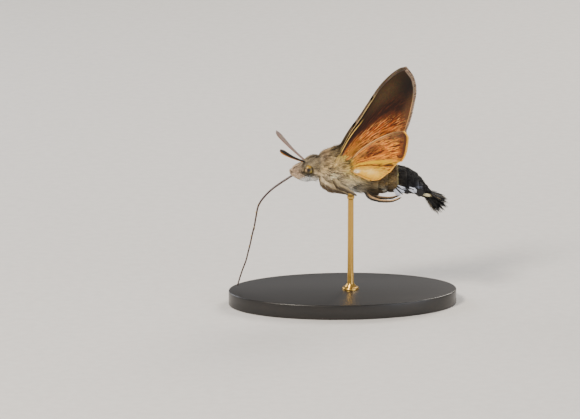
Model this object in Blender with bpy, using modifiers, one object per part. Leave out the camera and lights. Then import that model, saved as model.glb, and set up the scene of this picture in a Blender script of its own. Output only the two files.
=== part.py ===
"""A hummingbird hawk moth at life size, hovering with its wings raised, on a plain display stand.

The tail points along +X, the head along -X, and +Z is up. The base stands at Z = 0, centred on the origin.
Sizes are in millimetres, and MM turns them into Blender's metres where a mesh is made.
"""

import math
import random

import bmesh
import bpy
from mathutils import Matrix, Vector

MM = 0.001
GAP = 0.3  # kept between neighbouring pieces
SIDES = (-1, 1)  # the moth's left is at -Y and its right at +Y
SIDE_NAMES = {-1: "left", 1: "right"}
RANDOM_SEED = 11

# Body sections: place along X and Z, tilt of the section downwards in degrees, half height, half width.
HEAD_SECTIONS = (
    (-10.05, 27.95, 0, 0.45, 0.55),
    (-9.80, 27.98, 0, 0.80, 0.95),
    (-9.00, 28.10, 0, 1.18, 1.45),
    (-8.00, 28.25, 0, 1.65, 1.85),
    (-7.00, 28.45, 0, 2.25, 2.05),
    (-6.20, 28.42, 0, 2.60, 2.15),
    (-5.45, 28.30, 0, 2.70, 2.25),
)
THORAX_SECTIONS = (
    (-5.15, 28.30, 0, 2.75, 2.35),
    (-4.00, 28.40, 0, 3.25, 2.95),
    (-2.80, 28.45, 0, 3.75, 3.40),
    (-1.40, 28.40, 0, 4.20, 3.70),
    (0.00, 28.20, 2, 4.45, 3.85),
    (1.40, 27.95, 4, 4.50, 3.85),
    (2.80, 27.50, 6, 4.30, 3.72),
    (4.25, 27.05, 8, 3.90, 3.55),
)
BODY_STEPS = 12  # lengths between the rings of the head's and the thorax's mesh
ABDOMEN_LINE = (
    (4.55, 26.90, 8, 3.80, 3.50),
    (6.40, 26.35, 7, 3.52, 3.50),
    (8.40, 26.07, 6, 3.30, 3.50),
    (10.40, 25.86, 8, 3.05, 3.50),
    (12.60, 25.35, 18, 2.75, 3.35),
    (13.90, 24.80, 27, 2.35, 3.05),
    (14.95, 24.15, 34, 1.95, 2.60),
    (15.85, 23.42, 39, 1.55, 2.10),
    (16.60, 22.78, 41, 1.20, 1.65),
)
SEGMENT_ENDS = (0.0, 0.19, 0.345, 0.49, 0.615, 0.73, 0.84, 0.93, 1.0)  # shares of the abdomen's line
ABDOMEN_CUT = 0.353  # share of the line where the abdomen is parted in two
SEGMENT_STEP = 0.12  # how far each ring's rear edge stands over the next
SEGMENT_PROFILE = ((0.0, 0.0), (0.5, 0.6), (0.93, 1.0))  # share of a ring's length, how flared it is there

EYE_CENTRE = (-6.95, 1.55, 28.10)
EYE_RADII = (1.05, 0.80, 1.08)
PALP_LINE = (  # X, Y, Z, radius
    (-6.10, 1.20, 25.55, 0.42),
    (-7.20, 1.20, 25.70, 0.58),
    (-8.40, 1.18, 26.10, 0.66),
    (-9.50, 1.16, 26.75, 0.66),
    (-10.35, 1.14, 27.35, 0.50),
    (-10.75, 1.12, 27.68, 0.24),
)
PALP_FLATTEN = 0.88  # width over height
PALP_STEPS = 9

ANTENNA_ROOT_X = -7.80
ANTENNA_ROOT_ANGLE = 59  # degrees round the head from its widest line
ANTENNA_REACH = (-5.2, 7.45, 4.14)  # from root to tip
ANTENNA_CLEARANCE = 0.52  # along the antenna, from the head's surface to its lowest joint
ANTENNA_SAG = 0.25
ANTENNA_RADII = ((0.0, 0.27), (0.45, 0.27), (0.70, 0.40), (0.86, 0.50), (0.95, 0.40), (1.0, 0.16))
ANTENNA_STEPS = 16

PROBOSCIS_LINE = (
    (-9.95, 26.78),
    (-12.20, 25.32),
    (-14.28, 23.82),
    (-15.75, 22.35),
    (-16.60, 21.20),
    (-17.10, 20.05),
    (-17.42, 18.40),
    (-17.76, 16.45),
    (-18.20, 14.60),
    (-18.60, 12.70),
    (-19.05, 10.90),
    (-19.50, 9.10),
    (-20.28, 7.00),
    (-21.20, 4.05),
)
PROBOSCIS_PARTING = (0.36, 0.372)  # shares of the line where the upper length ends and the lower one starts
PROBOSCIS_RADII = (0.29, 0.24)
PROBOSCIS_STEPS = 18

# Wing outlines from the moth's left, as X and Z of the raised wing.
FOREWING_LEAD = (
    (-1.20, 30.95),
    (1.07, 35.20),
    (3.31, 38.43),
    (5.33, 41.60),
    (7.33, 44.50),
    (9.33, 46.60),
    (11.20, 47.95),
    (12.40, 48.30),
)
FOREWING_MARGIN = (
    (12.40, 48.30),
    (13.90, 46.30),
    (14.30, 43.70),
    (13.80, 40.60),
    (13.05, 37.60),
    (12.25, 35.60),
)
FOREWING_TRAIL = ((0.35, 30.20), (2.70, 31.65), (5.90, 32.90), (9.30, 34.30), (12.25, 35.60))
FOREWING_VEINS = (0.10, 0.24, 0.38, 0.52, 0.66, 0.80, 0.92)  # shares from the leading to the trailing edge
HINDWING_LEAD = (
    (1.10, 29.65),
    (2.40, 31.90),
    (4.24, 33.35),
    (6.27, 34.50),
    (8.29, 35.40),
    (10.30, 36.00),
    (12.00, 36.10),
)
HINDWING_MARGIN = (
    (12.00, 36.10),
    (12.85, 34.90),
    (12.70, 33.10),
    (12.22, 31.50),
    (11.50, 30.30),
    (9.97, 28.75),
    (8.40, 27.75),
    (6.90, 26.75),
    (5.30, 26.55),
)
HINDWING_TRAIL = ((1.40, 28.20), (2.30, 27.95), (3.35, 27.50), (4.40, 26.95), (5.30, 26.55))
HINDWING_VEINS = (0.14, 0.30, 0.46, 0.62, 0.78, 0.91)
VEIN_FLANK = 0.018  # share of the wing's width from a vein's crest to its foot
VEIN_FADE = 0.6  # how much of a vein's height is lost at the wing's margin
ROOT_SHARE = 0.12  # length of the wing's thick root
WING_THICKNESS = 0.5
VEIN_THICKNESS = 0.8
HINGE_HEIGHT = 29.9
WING_TOP_OFFSET = 1.1  # from the mid-plane to the raised wing's upper half
WING_TIP_FLARE = 0.4
WING_TIP_HEIGHT = 18.4
WING_FOOT_SPREAD = 3.4
WING_BEND_HEIGHT = 2.0
WING_BEND_LENGTH = 1.8
WING_BLEND = 0.3  # how gently a wing lifts off the body's side
HINDWING_LAP = 1.15  # how far the hindwing lies outside the forewing where they overlap
LAP_START_RADIUS = 3.2
LAP_START_HEIGHT = -1.5  # from the hinge
LAP_RISE = 3.5

LEG_STEPS = 14
HIP_CLEARANCE = 0.08
HIP_LENGTH = 0.6
HIP_RADIUS = 0.36
# Legs: the root's X and angle round the thorax, then each joint's place and radius.
LEGS = {
    "foreleg": (
        (-4.35, -50),
        (
            (-3.55, 2.10, 24.75, 0.46),
            (-2.40, 2.15, 24.30, 0.50),
            (-0.80, 1.95, 23.75, 0.40),
            (0.95, 1.70, 23.00, 0.15),
        ),
    ),
    "midleg": (
        (-2.10, -36),
        (
            (-1.00, 3.50, 25.10, 0.42),
            (0.30, 3.20, 24.35, 0.40),
            (1.40, 2.80, 23.75, 0.32),
            (2.50, 2.40, 23.00, 0.14),
        ),
    ),
    "hindleg": (
        (3.30, -66),
        (
            (4.90, 1.60, 22.20, 0.40),
            (7.40, 1.40, 21.55, 0.36),
            (9.60, 1.30, 21.45, 0.30),
            (11.60, 1.20, 22.15, 0.13),
        ),
    ),
}

# Locks of scales: places along a lock, with its width and thickness there as shares of the largest.
LOCK_STATIONS = ((0.0, 0.70, 1.0), (0.32, 1.0, 1.0), (0.68, 0.86, 0.9), (0.90, 0.45, 0.65), (1.0, 0.12, 0.35))
LOCK_THICKNESS = 0.52
LOCK_SINK = 0.7  # how deep a lock's root goes into what it grows from

TAIL_TILT = 35
TAIL_CORE_LENGTH = 2.1
TAIL_CORE_RADII = (1.0, 1.45)  # half height and half width where the core is thickest
TAIL_CORE_PROFILE = ((0.0, 0.92), (0.35, 1.0), (0.75, 0.8), (1.0, 0.35))  # share of its length, size there
TAIL_CLEARANCE = 0.42  # from the last ring to the core
TAIL_REACH = (0.88, 1.04)  # least and most of the length that a lock has
TAIL_ROOT_DEPTH = 0.45  # from the core's front to the locks' roots
TAIL_ROOT_SPREAD = 1.1  # from the mid-plane to the roots of locks that would point straight sideways
# Tiers of the tail fan, the lowest first: locks, spread to each side in degrees, pitch, length, width, height
# of the roots.
TAIL_TIERS = (
    (6, 36, -11, 4.1, 1.35, -0.40),
    (7, 44, 0, 4.1, 1.35, 0.00),
    (6, 34, 10, 3.8, 1.30, 0.40),
)
# Side tufts: share of the abdomen's line, angle from its widest line, locks, degrees between neighbouring
# locks, length, outward, downward.
SIDE_TUFTS = (
    (0.450, -14, 5, 17, 2.7, 0.36, 0.95),
    (0.560, -12, 4, 15, 2.9, 0.28, 0.62),
    (0.675, -12, 4, 15, 2.6, 0.26, 0.48),
    (0.790, -16, 3, 15, 2.4, 0.24, 0.24),
)
TUFT_SPACING = 0.27
TUFT_REACH = (0.86, 1.06)  # least and most of the length that a lock has
TUFT_LOCK_WIDTH = 0.95
TUFT_LIFT = 0.75  # how far outwards a tuft's root points, against its lie along the body

BASE_LENGTH = 46.0
BASE_WIDTH = 26.0
BASE_HEIGHT = 3.0
BASE_BEVEL = 0.6
ROD_X = 1.6
ROD_RADIUS = 0.7
ROD_FOOT_RADIUS = 1.7
ROD_FOOT_HEIGHT = 0.7
ROD_FOOT_RIM = 0.25  # height of the foot's edge
ROD_TOP_CLEARANCE = 0.4  # from the rod's end to the thorax

COLOURS = {
    "body_hair": (0.42, 0.36, 0.27, 0.9),
    "abdomen_hair": (0.10, 0.09, 0.08, 0.9),
    "tail_scales": (0.03, 0.03, 0.03, 0.8),
    "eye": (0.45, 0.38, 0.15, 0.3),
    "antenna": (0.07, 0.05, 0.04, 0.6),
    "proboscis": (0.12, 0.06, 0.04, 0.4),
    "forewing": (0.30, 0.14, 0.06, 0.7),
    "hindwing": (0.80, 0.38, 0.10, 0.7),
    "leg": (0.30, 0.24, 0.17, 0.8),
    "stand_wood": (0.05, 0.04, 0.035, 0.5),
    "stand_brass": (0.72, 0.55, 0.25, 0.3),
}


def clear_scene():
    for obj in list(bpy.data.objects):
        bpy.data.objects.remove(obj, do_unlink=True)


def finish_of(name):
    """The Principled material of this finish, made once."""
    if name in bpy.data.materials:
        return bpy.data.materials[name]
    material = bpy.data.materials.new(name)
    material.use_nodes = True
    shader = material.node_tree.nodes["Principled BSDF"]
    red, green, blue, roughness = COLOURS[name]
    shader.inputs["Base Color"].default_value = (red, green, blue, 1)
    shader.inputs["Roughness"].default_value = roughness
    shader.inputs["Metallic"].default_value = 1.0 if name == "stand_brass" else 0.0
    return material


def object_from(name, bm, finish, collection):
    """A named object from a bmesh in millimetres, with outward normals."""
    bmesh.ops.scale(bm, vec=(MM, MM, MM), verts=bm.verts)
    bmesh.ops.triangulate(bm, faces=bm.faces)
    bmesh.ops.recalc_face_normals(bm, faces=bm.faces)
    mesh = bpy.data.meshes.new(name)
    bm.to_mesh(mesh)
    bm.free()
    mesh.materials.append(finish_of(finish))
    obj = bpy.data.objects.new(name, mesh)
    collection.objects.link(obj)
    return obj


def spline_point(points, share):
    """A point at this share of a smooth curve through the points, which may be tuples of any length."""
    last = len(points) - 1
    place = min(max(share, 0.0), 1.0) * last
    i = min(int(place), last - 1)
    t = place - i
    before, start, end, after = (points[min(max(k, 0), last)] for k in (i - 1, i, i + 1, i + 2))
    return tuple(
        0.5 * (2 * b + (c - a) * t + (2 * a - 5 * b + 4 * c - d) * t**2 + (3 * b - a - 3 * c + d) * t**3)
        for a, b, c, d in zip(before, start, end, after)
    )


def section_at_x(sections, x):
    """The body section at this X, between the two named ones that hold it."""
    for near, far in zip(sections, sections[1:]):
        if near[0] <= x <= far[0]:
            t = (x - near[0]) / (far[0] - near[0])
            return tuple(a + (b - a) * t for a, b in zip(near, far))
    raise ValueError(f"no section at x = {x}")


def surface_point(section, side, angle):
    """(point, outward direction) on a section's edge, at this angle from its widest line, in degrees."""
    x, z, tilt, half_height, half_width = section
    turn = math.radians(angle)
    lean = math.radians(tilt)
    rise = half_height * math.sin(turn)
    point = Vector((x + rise * math.sin(lean), side * half_width * math.cos(turn), z + rise * math.cos(lean)))
    outward = Vector((0, side * math.cos(turn) / half_width, math.sin(turn) / half_height)).normalized()
    return point, outward


def ring_at(bm, section, count):
    """The vertices of one elliptical section."""
    x, z, tilt, half_height, half_width = section
    turned = Matrix.Translation((x, 0, z)) @ Matrix.Rotation(math.radians(tilt), 4, "Y")
    ring = []
    for k in range(count):
        angle = 2 * math.pi * k / count
        point = turned @ Vector((0, half_width * math.cos(angle), half_height * math.sin(angle)))
        ring.append(bm.verts.new(point))
    return ring


def close_loft(bm, rings):
    """Skins neighbouring rings with quads and closes both ends."""
    count = len(rings[0])
    for near, far in zip(rings, rings[1:]):
        for k in range(count):
            m = (k + 1) % count
            bm.faces.new((near[k], near[m], far[m], far[k]))
    bm.faces.new(rings[0])
    bm.faces.new(rings[-1])


def lofted_body(name, sections, finish, collection, count=22):
    bm = bmesh.new()
    close_loft(bm, [ring_at(bm, section, count) for section in sections])
    return object_from(name, bm, finish, collection)


def smooth_sections(sections):
    return [spline_point(sections, k / BODY_STEPS) for k in range(BODY_STEPS + 1)]


def abdomen_sections(start, end):
    """Sections from start to end of the abdomen's line, where each ring widens to its rear edge."""
    sections = []
    for ring_start, ring_end in zip(SEGMENT_ENDS, SEGMENT_ENDS[1:]):
        for place, flare in SEGMENT_PROFILE:
            share = ring_start + (ring_end - ring_start) * place
            if start < share < end:
                sections.append(flared(share, flare))
    return [flared(start, 0.5)] + sections + [flared(end, 0.5)]


def flared(share, flare):
    """The abdomen's section at this share of its line, widened where flare is over a half."""
    x, z, tilt, half_height, half_width = spline_point(ABDOMEN_LINE, share)
    grow = SEGMENT_STEP * (flare - 0.5)
    return (x, z, tilt, half_height + grow, half_width + grow)


def tube_mesh(bm, path, radii, count, flatten=1.0):
    """Adds a closed tapering tube along a path to the bmesh. flatten narrows it across Y."""
    rings = []
    heading = path[1] - path[0]
    turn = heading.to_track_quat("X", "Z")
    for k, (point, radius) in enumerate(zip(path, radii)):
        ahead = path[min(k + 1, len(path) - 1)] - path[max(k - 1, 0)]
        turn = heading.rotation_difference(ahead) @ turn
        heading = ahead
        ring = []
        for j in range(count):
            angle = 2 * math.pi * j / count
            offset = turn @ Vector((0, flatten * radius * math.cos(angle), radius * math.sin(angle)))
            ring.append(bm.verts.new(point + offset))
        rings.append(ring)
    close_loft(bm, rings)


def curve_tube(name, path, radii, finish, collection):
    """A round tapering tube as a POLY curve with a bevel, its points in millimetres."""
    curve = bpy.data.curves.new(name, "CURVE")
    curve.dimensions = "3D"
    curve.bevel_depth = MM
    curve.bevel_resolution = 2
    curve.use_fill_caps = True
    line = curve.splines.new("POLY")
    line.points.add(len(path) - 1)
    for place, point, radius in zip(line.points, path, radii):
        place.co = (*(point * MM), 1)
        place.radius = radius
    curve.materials.append(finish_of(finish))
    obj = bpy.data.objects.new(name, curve)
    collection.objects.link(obj)
    return obj


def step_value(table, share):
    """A value between the named steps of a table of (share, value)."""
    for (near, low), (far, high) in zip(table, table[1:]):
        if near <= share <= far:
            return low + (high - low) * (share - near) / (far - near)
    return table[-1][1]


def lock_mesh(bm, root, start, end, facing, length, width):
    """Adds a closed, tapering lock that bends from one heading to another. facing is its flat side's way."""
    rings = []
    for share, breadth, depth in LOCK_STATIONS:
        centre = root + (start * share + (end - start) * (0.5 * share**2)) * length
        across = start.lerp(end, share).cross(facing).normalized()
        half_width = across * (0.5 * width * breadth)
        half_depth = across.cross(start.lerp(end, share)).normalized() * (0.5 * LOCK_THICKNESS * depth)
        corners = (
            half_width, 0.5 * half_width + half_depth, half_depth - 0.5 * half_width,
            -half_width, -0.5 * half_width - half_depth, 0.5 * half_width - half_depth,
        )
        rings.append([bm.verts.new(centre + corner) for corner in corners])
    close_loft(bm, rings)


def add_lock(locks, *shape):
    """A lock as an object of its own, to be joined to a core later."""
    bm = bmesh.new()
    lock_mesh(bm, *shape)
    object_from("lock", bm, "tail_scales", locks)


def keep_largest_surface(mesh):
    """Deletes every loose surface of the mesh but the one with most faces."""
    bm = bmesh.new()
    bm.from_mesh(mesh)
    unseen = set(bm.faces)
    surfaces = []
    while unseen:
        front = [unseen.pop()]
        surface = list(front)
        while front:
            face = front.pop()
            for edge in face.edges:
                for neighbour in edge.link_faces:
                    if neighbour in unseen:
                        unseen.remove(neighbour)
                        surface.append(neighbour)
                        front.append(neighbour)
        surfaces.append(surface)
    surfaces.sort(key=len)
    for surface in surfaces[:-1]:
        bmesh.ops.delete(bm, geom=surface, context="FACES")
    bmesh.ops.triangulate(bm, faces=bm.faces)
    bm.to_mesh(mesh)
    bm.free()


def fuse(core, locks):
    """Joins every lock of the collection to the core as one closed body, and removes the collection."""
    union = core.modifiers.new("locks", "BOOLEAN")
    union.operation = "UNION"
    union.operand_type = "COLLECTION"
    union.collection = locks
    bpy.context.view_layer.objects.active = core
    bpy.ops.object.modifier_apply(modifier=union.name)
    for lock in list(locks.objects):
        bpy.data.objects.remove(lock, do_unlink=True)
    bpy.data.collections.remove(locks)
    keep_largest_surface(core.data)


def lock_collection(name):
    locks = bpy.data.collections.new(name)
    bpy.context.scene.collection.children.link(locks)
    return locks


def ellipsoid(name, centre, radii, finish, collection, grow=0.0, segments=18):
    bm = bmesh.new()
    bmesh.ops.create_uvsphere(bm, u_segments=segments, v_segments=segments * 2 // 3, radius=1)
    bmesh.ops.scale(bm, vec=[r + grow for r in radii], verts=bm.verts)
    bmesh.ops.translate(bm, vec=centre, verts=bm.verts)
    return object_from(name, bm, finish, collection)


def cut_away(obj, cutter, cutters):
    """A live Boolean on obj, with the cutter kept as a hidden helper."""
    for owner in list(cutter.users_collection):
        owner.objects.unlink(cutter)
    cutters.objects.link(cutter)
    cutter.hide_render = True
    cutter.display_type = "WIRE"
    boolean = obj.modifiers.new("socket", "BOOLEAN")
    boolean.operation = "DIFFERENCE"
    boolean.object = cutter


def make_head(parts, cutters):
    head = lofted_body("head", smooth_sections(HEAD_SECTIONS), "body_hair", parts)
    for side in SIDES:
        x, y, z = EYE_CENTRE
        centre = (x, side * y, z)
        ellipsoid(f"eye_{SIDE_NAMES[side]}", centre, EYE_RADII, "eye", parts)
        socket = ellipsoid(f"eye_socket_{SIDE_NAMES[side]}", centre, EYE_RADII, "eye", parts, grow=GAP)
        cut_away(head, socket, cutters)


def make_palps(parts):
    for side in SIDES:
        bm = bmesh.new()
        stations = [spline_point(PALP_LINE, k / PALP_STEPS) for k in range(PALP_STEPS + 1)]
        path = [Vector((x, side * y, z)) for x, y, z, radius in stations]
        tube_mesh(bm, path, [station[3] for station in stations], 12, flatten=PALP_FLATTEN)
        object_from(f"palp_{SIDE_NAMES[side]}", bm, "body_hair", parts)


def make_antennae(parts):
    for side in SIDES:
        root, outward = surface_point(section_at_x(HEAD_SECTIONS, ANTENNA_ROOT_X), side, ANTENNA_ROOT_ANGLE)
        reach = Vector((ANTENNA_REACH[0], side * ANTENNA_REACH[1], ANTENNA_REACH[2]))
        path, radii = [], []
        for k in range(ANTENNA_STEPS + 1):
            share = max(k / ANTENNA_STEPS, ANTENNA_CLEARANCE / reach.length)
            droop = Vector((0, 0, ANTENNA_SAG * math.sin(math.pi * share)))
            path.append(root + reach * share - droop)
            radii.append(step_value(ANTENNA_RADII, share))
        curve_tube(f"antenna_{SIDE_NAMES[side]}", path, radii, "antenna", parts)


def make_proboscis(parts):
    upper_end, lower_start = PROBOSCIS_PARTING
    thick, thin = PROBOSCIS_RADII
    for name, start, end in (("proboscis_upper", 0.0, upper_end), ("proboscis_lower", lower_start, 1.0)):
        shares = [start + (end - start) * k / PROBOSCIS_STEPS for k in range(PROBOSCIS_STEPS + 1)]
        path = []
        for share in shares:
            x, z = spline_point(PROBOSCIS_LINE, share)
            path.append(Vector((x, 0, z)))
        curve_tube(name, path, [thick + (thin - thick) * share for share in shares], "proboscis", parts)


def body_half_width(x, z):
    """Half the width of the thorax or abdomen at this place, or 0 above and below them."""
    section_x, centre, tilt, half_height, half_width = section_at_x(THORAX_SECTIONS + ABDOMEN_LINE, x)
    rise = (z - centre) / half_height
    return half_width * math.sqrt(1 - rise * rise) if abs(rise) < 1 else 0


def smooth_step(value):
    value = min(max(value, 0.0), 1.0)
    return value * value * (3 - 2 * value)


def wing_offset(x, z, lapping):
    """How far from the mid-plane the raised wing's middle surface stands here."""
    height = z - HINGE_HEIGHT
    lean = WING_TOP_OFFSET + WING_TIP_FLARE * max(height / WING_TIP_HEIGHT, 0) ** 2
    lean += WING_FOOT_SPREAD / (1 + math.exp((height - WING_BEND_HEIGHT) / WING_BEND_LENGTH))
    if lapping:
        radius = math.hypot(x - HINDWING_LEAD[0][0], z - HINDWING_LEAD[0][1])
        risen = smooth_step((height - LAP_START_HEIGHT) / LAP_RISE)
        lean += HINDWING_LAP * smooth_step(radius / LAP_START_RADIUS) * risen
    clear = body_half_width(x, z) + GAP + VEIN_THICKNESS / 2
    return 0.5 * (lean + clear + math.sqrt((lean - clear) ** 2 + WING_BLEND ** 2))


def wing_place(lead, margin, trail, along, across):
    """A point of the patch between a wing's four edges, as X and Z."""
    front = spline_point(lead, along)
    back = spline_point(trail, along)
    outer = spline_point(margin, across)
    return tuple(
        (1 - across) * front[i] + across * back[i]
        + along * (outer[i] - (1 - across) * margin[0][i] - across * margin[-1][i])
        for i in (0, 1)
    )


def wing_columns(veins):
    """(share across the wing, height of the ridge there) for each column of the grid, three to a vein."""
    columns = [(0.0, 1.0)]
    for vein in veins:
        columns += [(vein - VEIN_FLANK, 0.0), (vein, 1.0), (vein + VEIN_FLANK, 0.0)]
    return columns + [(1.0, 0.3)]


def make_wing(name, side, edges, veins, lapping, along_steps, parts):
    lead, margin, trail = edges
    columns = wing_columns(veins)
    thickness = []
    bm = bmesh.new()
    bmesh.ops.create_grid(bm, x_segments=along_steps, y_segments=len(columns) - 1, size=0.5)
    for vert in bm.verts:
        along = vert.co.x + 0.5
        across, ridge = columns[round((vert.co.y + 0.5) * (len(columns) - 1))]
        x, z = wing_place(lead, margin, trail, along, across)
        vert.co = (x, side * wing_offset(x, z, lapping), z)
        raised = max(ridge * (1 - VEIN_FADE * along), 1 - along / ROOT_SHARE)
        thickness.append(WING_THICKNESS + (VEIN_THICKNESS - WING_THICKNESS) * raised)
    wing = object_from(f"{name}_{SIDE_NAMES[side]}", bm, name, parts)
    group = wing.vertex_groups.new(name="thickness")
    for index, value in enumerate(thickness):
        group.add([index], value / VEIN_THICKNESS, "REPLACE")
    shell = wing.modifiers.new("membrane", "SOLIDIFY")
    shell.thickness = VEIN_THICKNESS * MM
    shell.offset = 0
    shell.vertex_group = group.name


def make_wings(parts):
    forewing = (FOREWING_LEAD, FOREWING_MARGIN, FOREWING_TRAIL)
    hindwing = (HINDWING_LEAD, HINDWING_MARGIN, HINDWING_TRAIL)
    for side in SIDES:
        make_wing("forewing", side, forewing, FOREWING_VEINS, False, 10, parts)
        make_wing("hindwing", side, hindwing, HINDWING_VEINS, True, 8, parts)


def make_legs(parts):
    for side in SIDES:
        for leg, ((root_x, root_angle), joints) in LEGS.items():
            root, outward = surface_point(section_at_x(THORAX_SECTIONS, root_x), side, root_angle)
            hip = root + outward * (GAP + HIP_CLEARANCE)
            joints = [(x, side * y, z, radius) for x, y, z, radius in joints]
            onward = (Vector(joints[0][:3]) - hip).normalized()
            bend = hip + (outward + onward).normalized() * HIP_LENGTH
            places = [(*hip, HIP_RADIUS), (*bend, HIP_RADIUS), *joints]
            line = [spline_point(places, k / LEG_STEPS) for k in range(LEG_STEPS + 1)]
            bm = bmesh.new()
            tube_mesh(bm, [Vector(point[:3]) for point in line], [point[3] for point in line], 8)
            object_from(f"{leg}_{SIDE_NAMES[side]}", bm, "leg", parts)


def backward(tilt):
    """The way the body runs towards the tail where its sections are tilted this much."""
    lean = math.radians(tilt)
    return Vector((math.cos(lean), 0, -math.sin(lean)))


def add_side_tufts(locks, dice):
    """Flat tufts that leave the abdomen's sides at its widest line and point back, out and down."""
    for side in SIDES:
        for share, angle, count, splay, length, outward_share, downward_share in SIDE_TUFTS:
            section = flared(share, 0.5)
            root, outward = surface_point(section, side, angle)
            along = backward(section[2])
            heading = along + outward * outward_share + Vector((0, 0, -downward_share))
            for k in range(count):
                step = k - (count - 1) / 2
                fan = Matrix.Rotation(math.radians(side * splay * step), 3, outward)
                end = (fan @ heading).normalized()
                start = (end + outward * TUFT_LIFT).normalized()
                place = root + along * (TUFT_SPACING * step) - start * LOCK_SINK
                reach = (length + LOCK_SINK) * dice.uniform(*TUFT_REACH)
                add_lock(locks, place, start, end, outward, reach, TUFT_LOCK_WIDTH)


def make_abdomen(parts, dice):
    neighbours = zip(ABDOMEN_LINE, ABDOMEN_LINE[1:])
    length = sum((Vector(far[:2]) - Vector(near[:2])).length for near, far in neighbours)
    lofted_body("abdomen_front", abdomen_sections(0.0, ABDOMEN_CUT), "body_hair", parts)
    rear_sections = abdomen_sections(ABDOMEN_CUT + GAP / length, 1.0)
    rear = lofted_body("abdomen_rear", rear_sections, "abdomen_hair", parts)
    locks = lock_collection("side_tufts")
    add_side_tufts(locks, dice)
    fuse(rear, locks)


def make_tail(parts, dice):
    """A small core behind the last ring, with tiers of flat locks that spread from it like a fan."""
    x, z, tilt = ABDOMEN_LINE[-1][:3]
    start = Vector((x, 0, z)) + backward(tilt) * TAIL_CLEARANCE
    along = backward(TAIL_TILT)
    upward = along.cross(Vector((0, 1, 0)))
    core_height, core_width = TAIL_CORE_RADII
    sections = []
    for share, size in TAIL_CORE_PROFILE:
        centre = start + along * (TAIL_CORE_LENGTH * share)
        sections.append((centre.x, centre.z, TAIL_TILT, core_height * size, core_width * size))
    core = lofted_body("tail_fan", sections, "tail_scales", parts, count=14)
    locks = lock_collection("tail_locks")
    for count, spread, pitch, length, width, height in TAIL_TIERS:
        for k in range(count):
            turn = spread * (2 * k / (count - 1) - 1)
            swing = Matrix.Rotation(math.radians(turn), 3, upward)
            swing @= Matrix.Rotation(math.radians(-pitch), 3, "Y")
            heading = (swing @ along).normalized()
            facing = (swing @ upward).normalized()
            root = start + along * TAIL_ROOT_DEPTH + upward * height
            root.y += TAIL_ROOT_SPREAD * math.sin(math.radians(turn))
            reach = length * dice.uniform(*TAIL_REACH)
            add_lock(locks, root, heading, heading, facing, reach, width)
    fuse(core, locks)


def make_stand(parts):
    middle = (0, 0, BASE_HEIGHT * MM / 2)
    bpy.ops.mesh.primitive_cylinder_add(vertices=48, radius=0.5, depth=1, location=middle)
    base = bpy.context.object
    base.name = "stand_base"
    base.scale = (BASE_LENGTH * MM, BASE_WIDTH * MM, BASE_HEIGHT * MM)
    bpy.ops.object.transform_apply(location=False, rotation=False, scale=True)
    edge = base.modifiers.new("rounded_edge", "BEVEL")
    edge.width = BASE_BEVEL * MM
    edge.segments = 2
    base.data.materials.append(finish_of("stand_wood"))
    thorax = section_at_x(THORAX_SECTIONS, ROD_X)
    top = thorax[1] - thorax[3] - ROD_TOP_CLEARANCE
    foot = BASE_HEIGHT + GAP
    profile = (  # radius, height
        (0, top),
        (ROD_RADIUS, top),
        (ROD_RADIUS, foot + ROD_FOOT_HEIGHT),
        (ROD_FOOT_RADIUS, foot + ROD_FOOT_RIM),
        (ROD_FOOT_RADIUS, foot),
        (0, foot),
    )
    bm = bmesh.new()
    corners = [bm.verts.new((r, 0, h)) for r, h in profile]
    for near, far in zip(corners, corners[1:]):
        bm.edges.new((near, far))
    bmesh.ops.scale(bm, vec=(MM, MM, MM), verts=bm.verts)
    mesh = bpy.data.meshes.new("stand_rod")
    bm.to_mesh(mesh)
    bm.free()
    mesh.materials.append(finish_of("stand_brass"))
    rod = bpy.data.objects.new("stand_rod", mesh)
    parts.objects.link(rod)
    rod.location = (ROD_X * MM, 0, 0)
    turned = rod.modifiers.new("turned", "SCREW")
    turned.steps = turned.render_steps = 20
    turned.use_merge_vertices = True
    turned.merge_threshold = 0.00001
    for owner in list(base.users_collection):
        owner.objects.unlink(base)
    parts.objects.link(base)


def main():
    clear_scene()
    dice = random.Random(RANDOM_SEED)
    parts = bpy.data.collections.new("hummingbird_hawk_moth")
    cutters = bpy.data.collections.new("cutters")
    bpy.context.scene.collection.children.link(parts)
    bpy.context.scene.collection.children.link(cutters)
    make_head(parts, cutters)
    make_palps(parts)
    make_antennae(parts)
    make_proboscis(parts)
    lofted_body("thorax", smooth_sections(THORAX_SECTIONS), "body_hair", parts)
    make_abdomen(parts, dice)
    make_tail(parts, dice)
    make_wings(parts)
    make_legs(parts)
    make_stand(parts)


main()
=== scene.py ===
# %% [markdown]
# # A hummingbird hawk moth, life size
#
# This lesson dresses a finished set of plain solids as a real moth. The solids are loaded first and never
# change. Each piece is built over them, in the same place, and then stands for them. All tables are in
# millimetres, because a moth is small, and MM turns them into Blender's metres. One seeded set of dice gives
# all chance, so every run makes the same moth.

import math

import bpy
import numpy as np
from mathutils import Matrix, Quaternion, Vector
from mathutils.kdtree import KDTree


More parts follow.
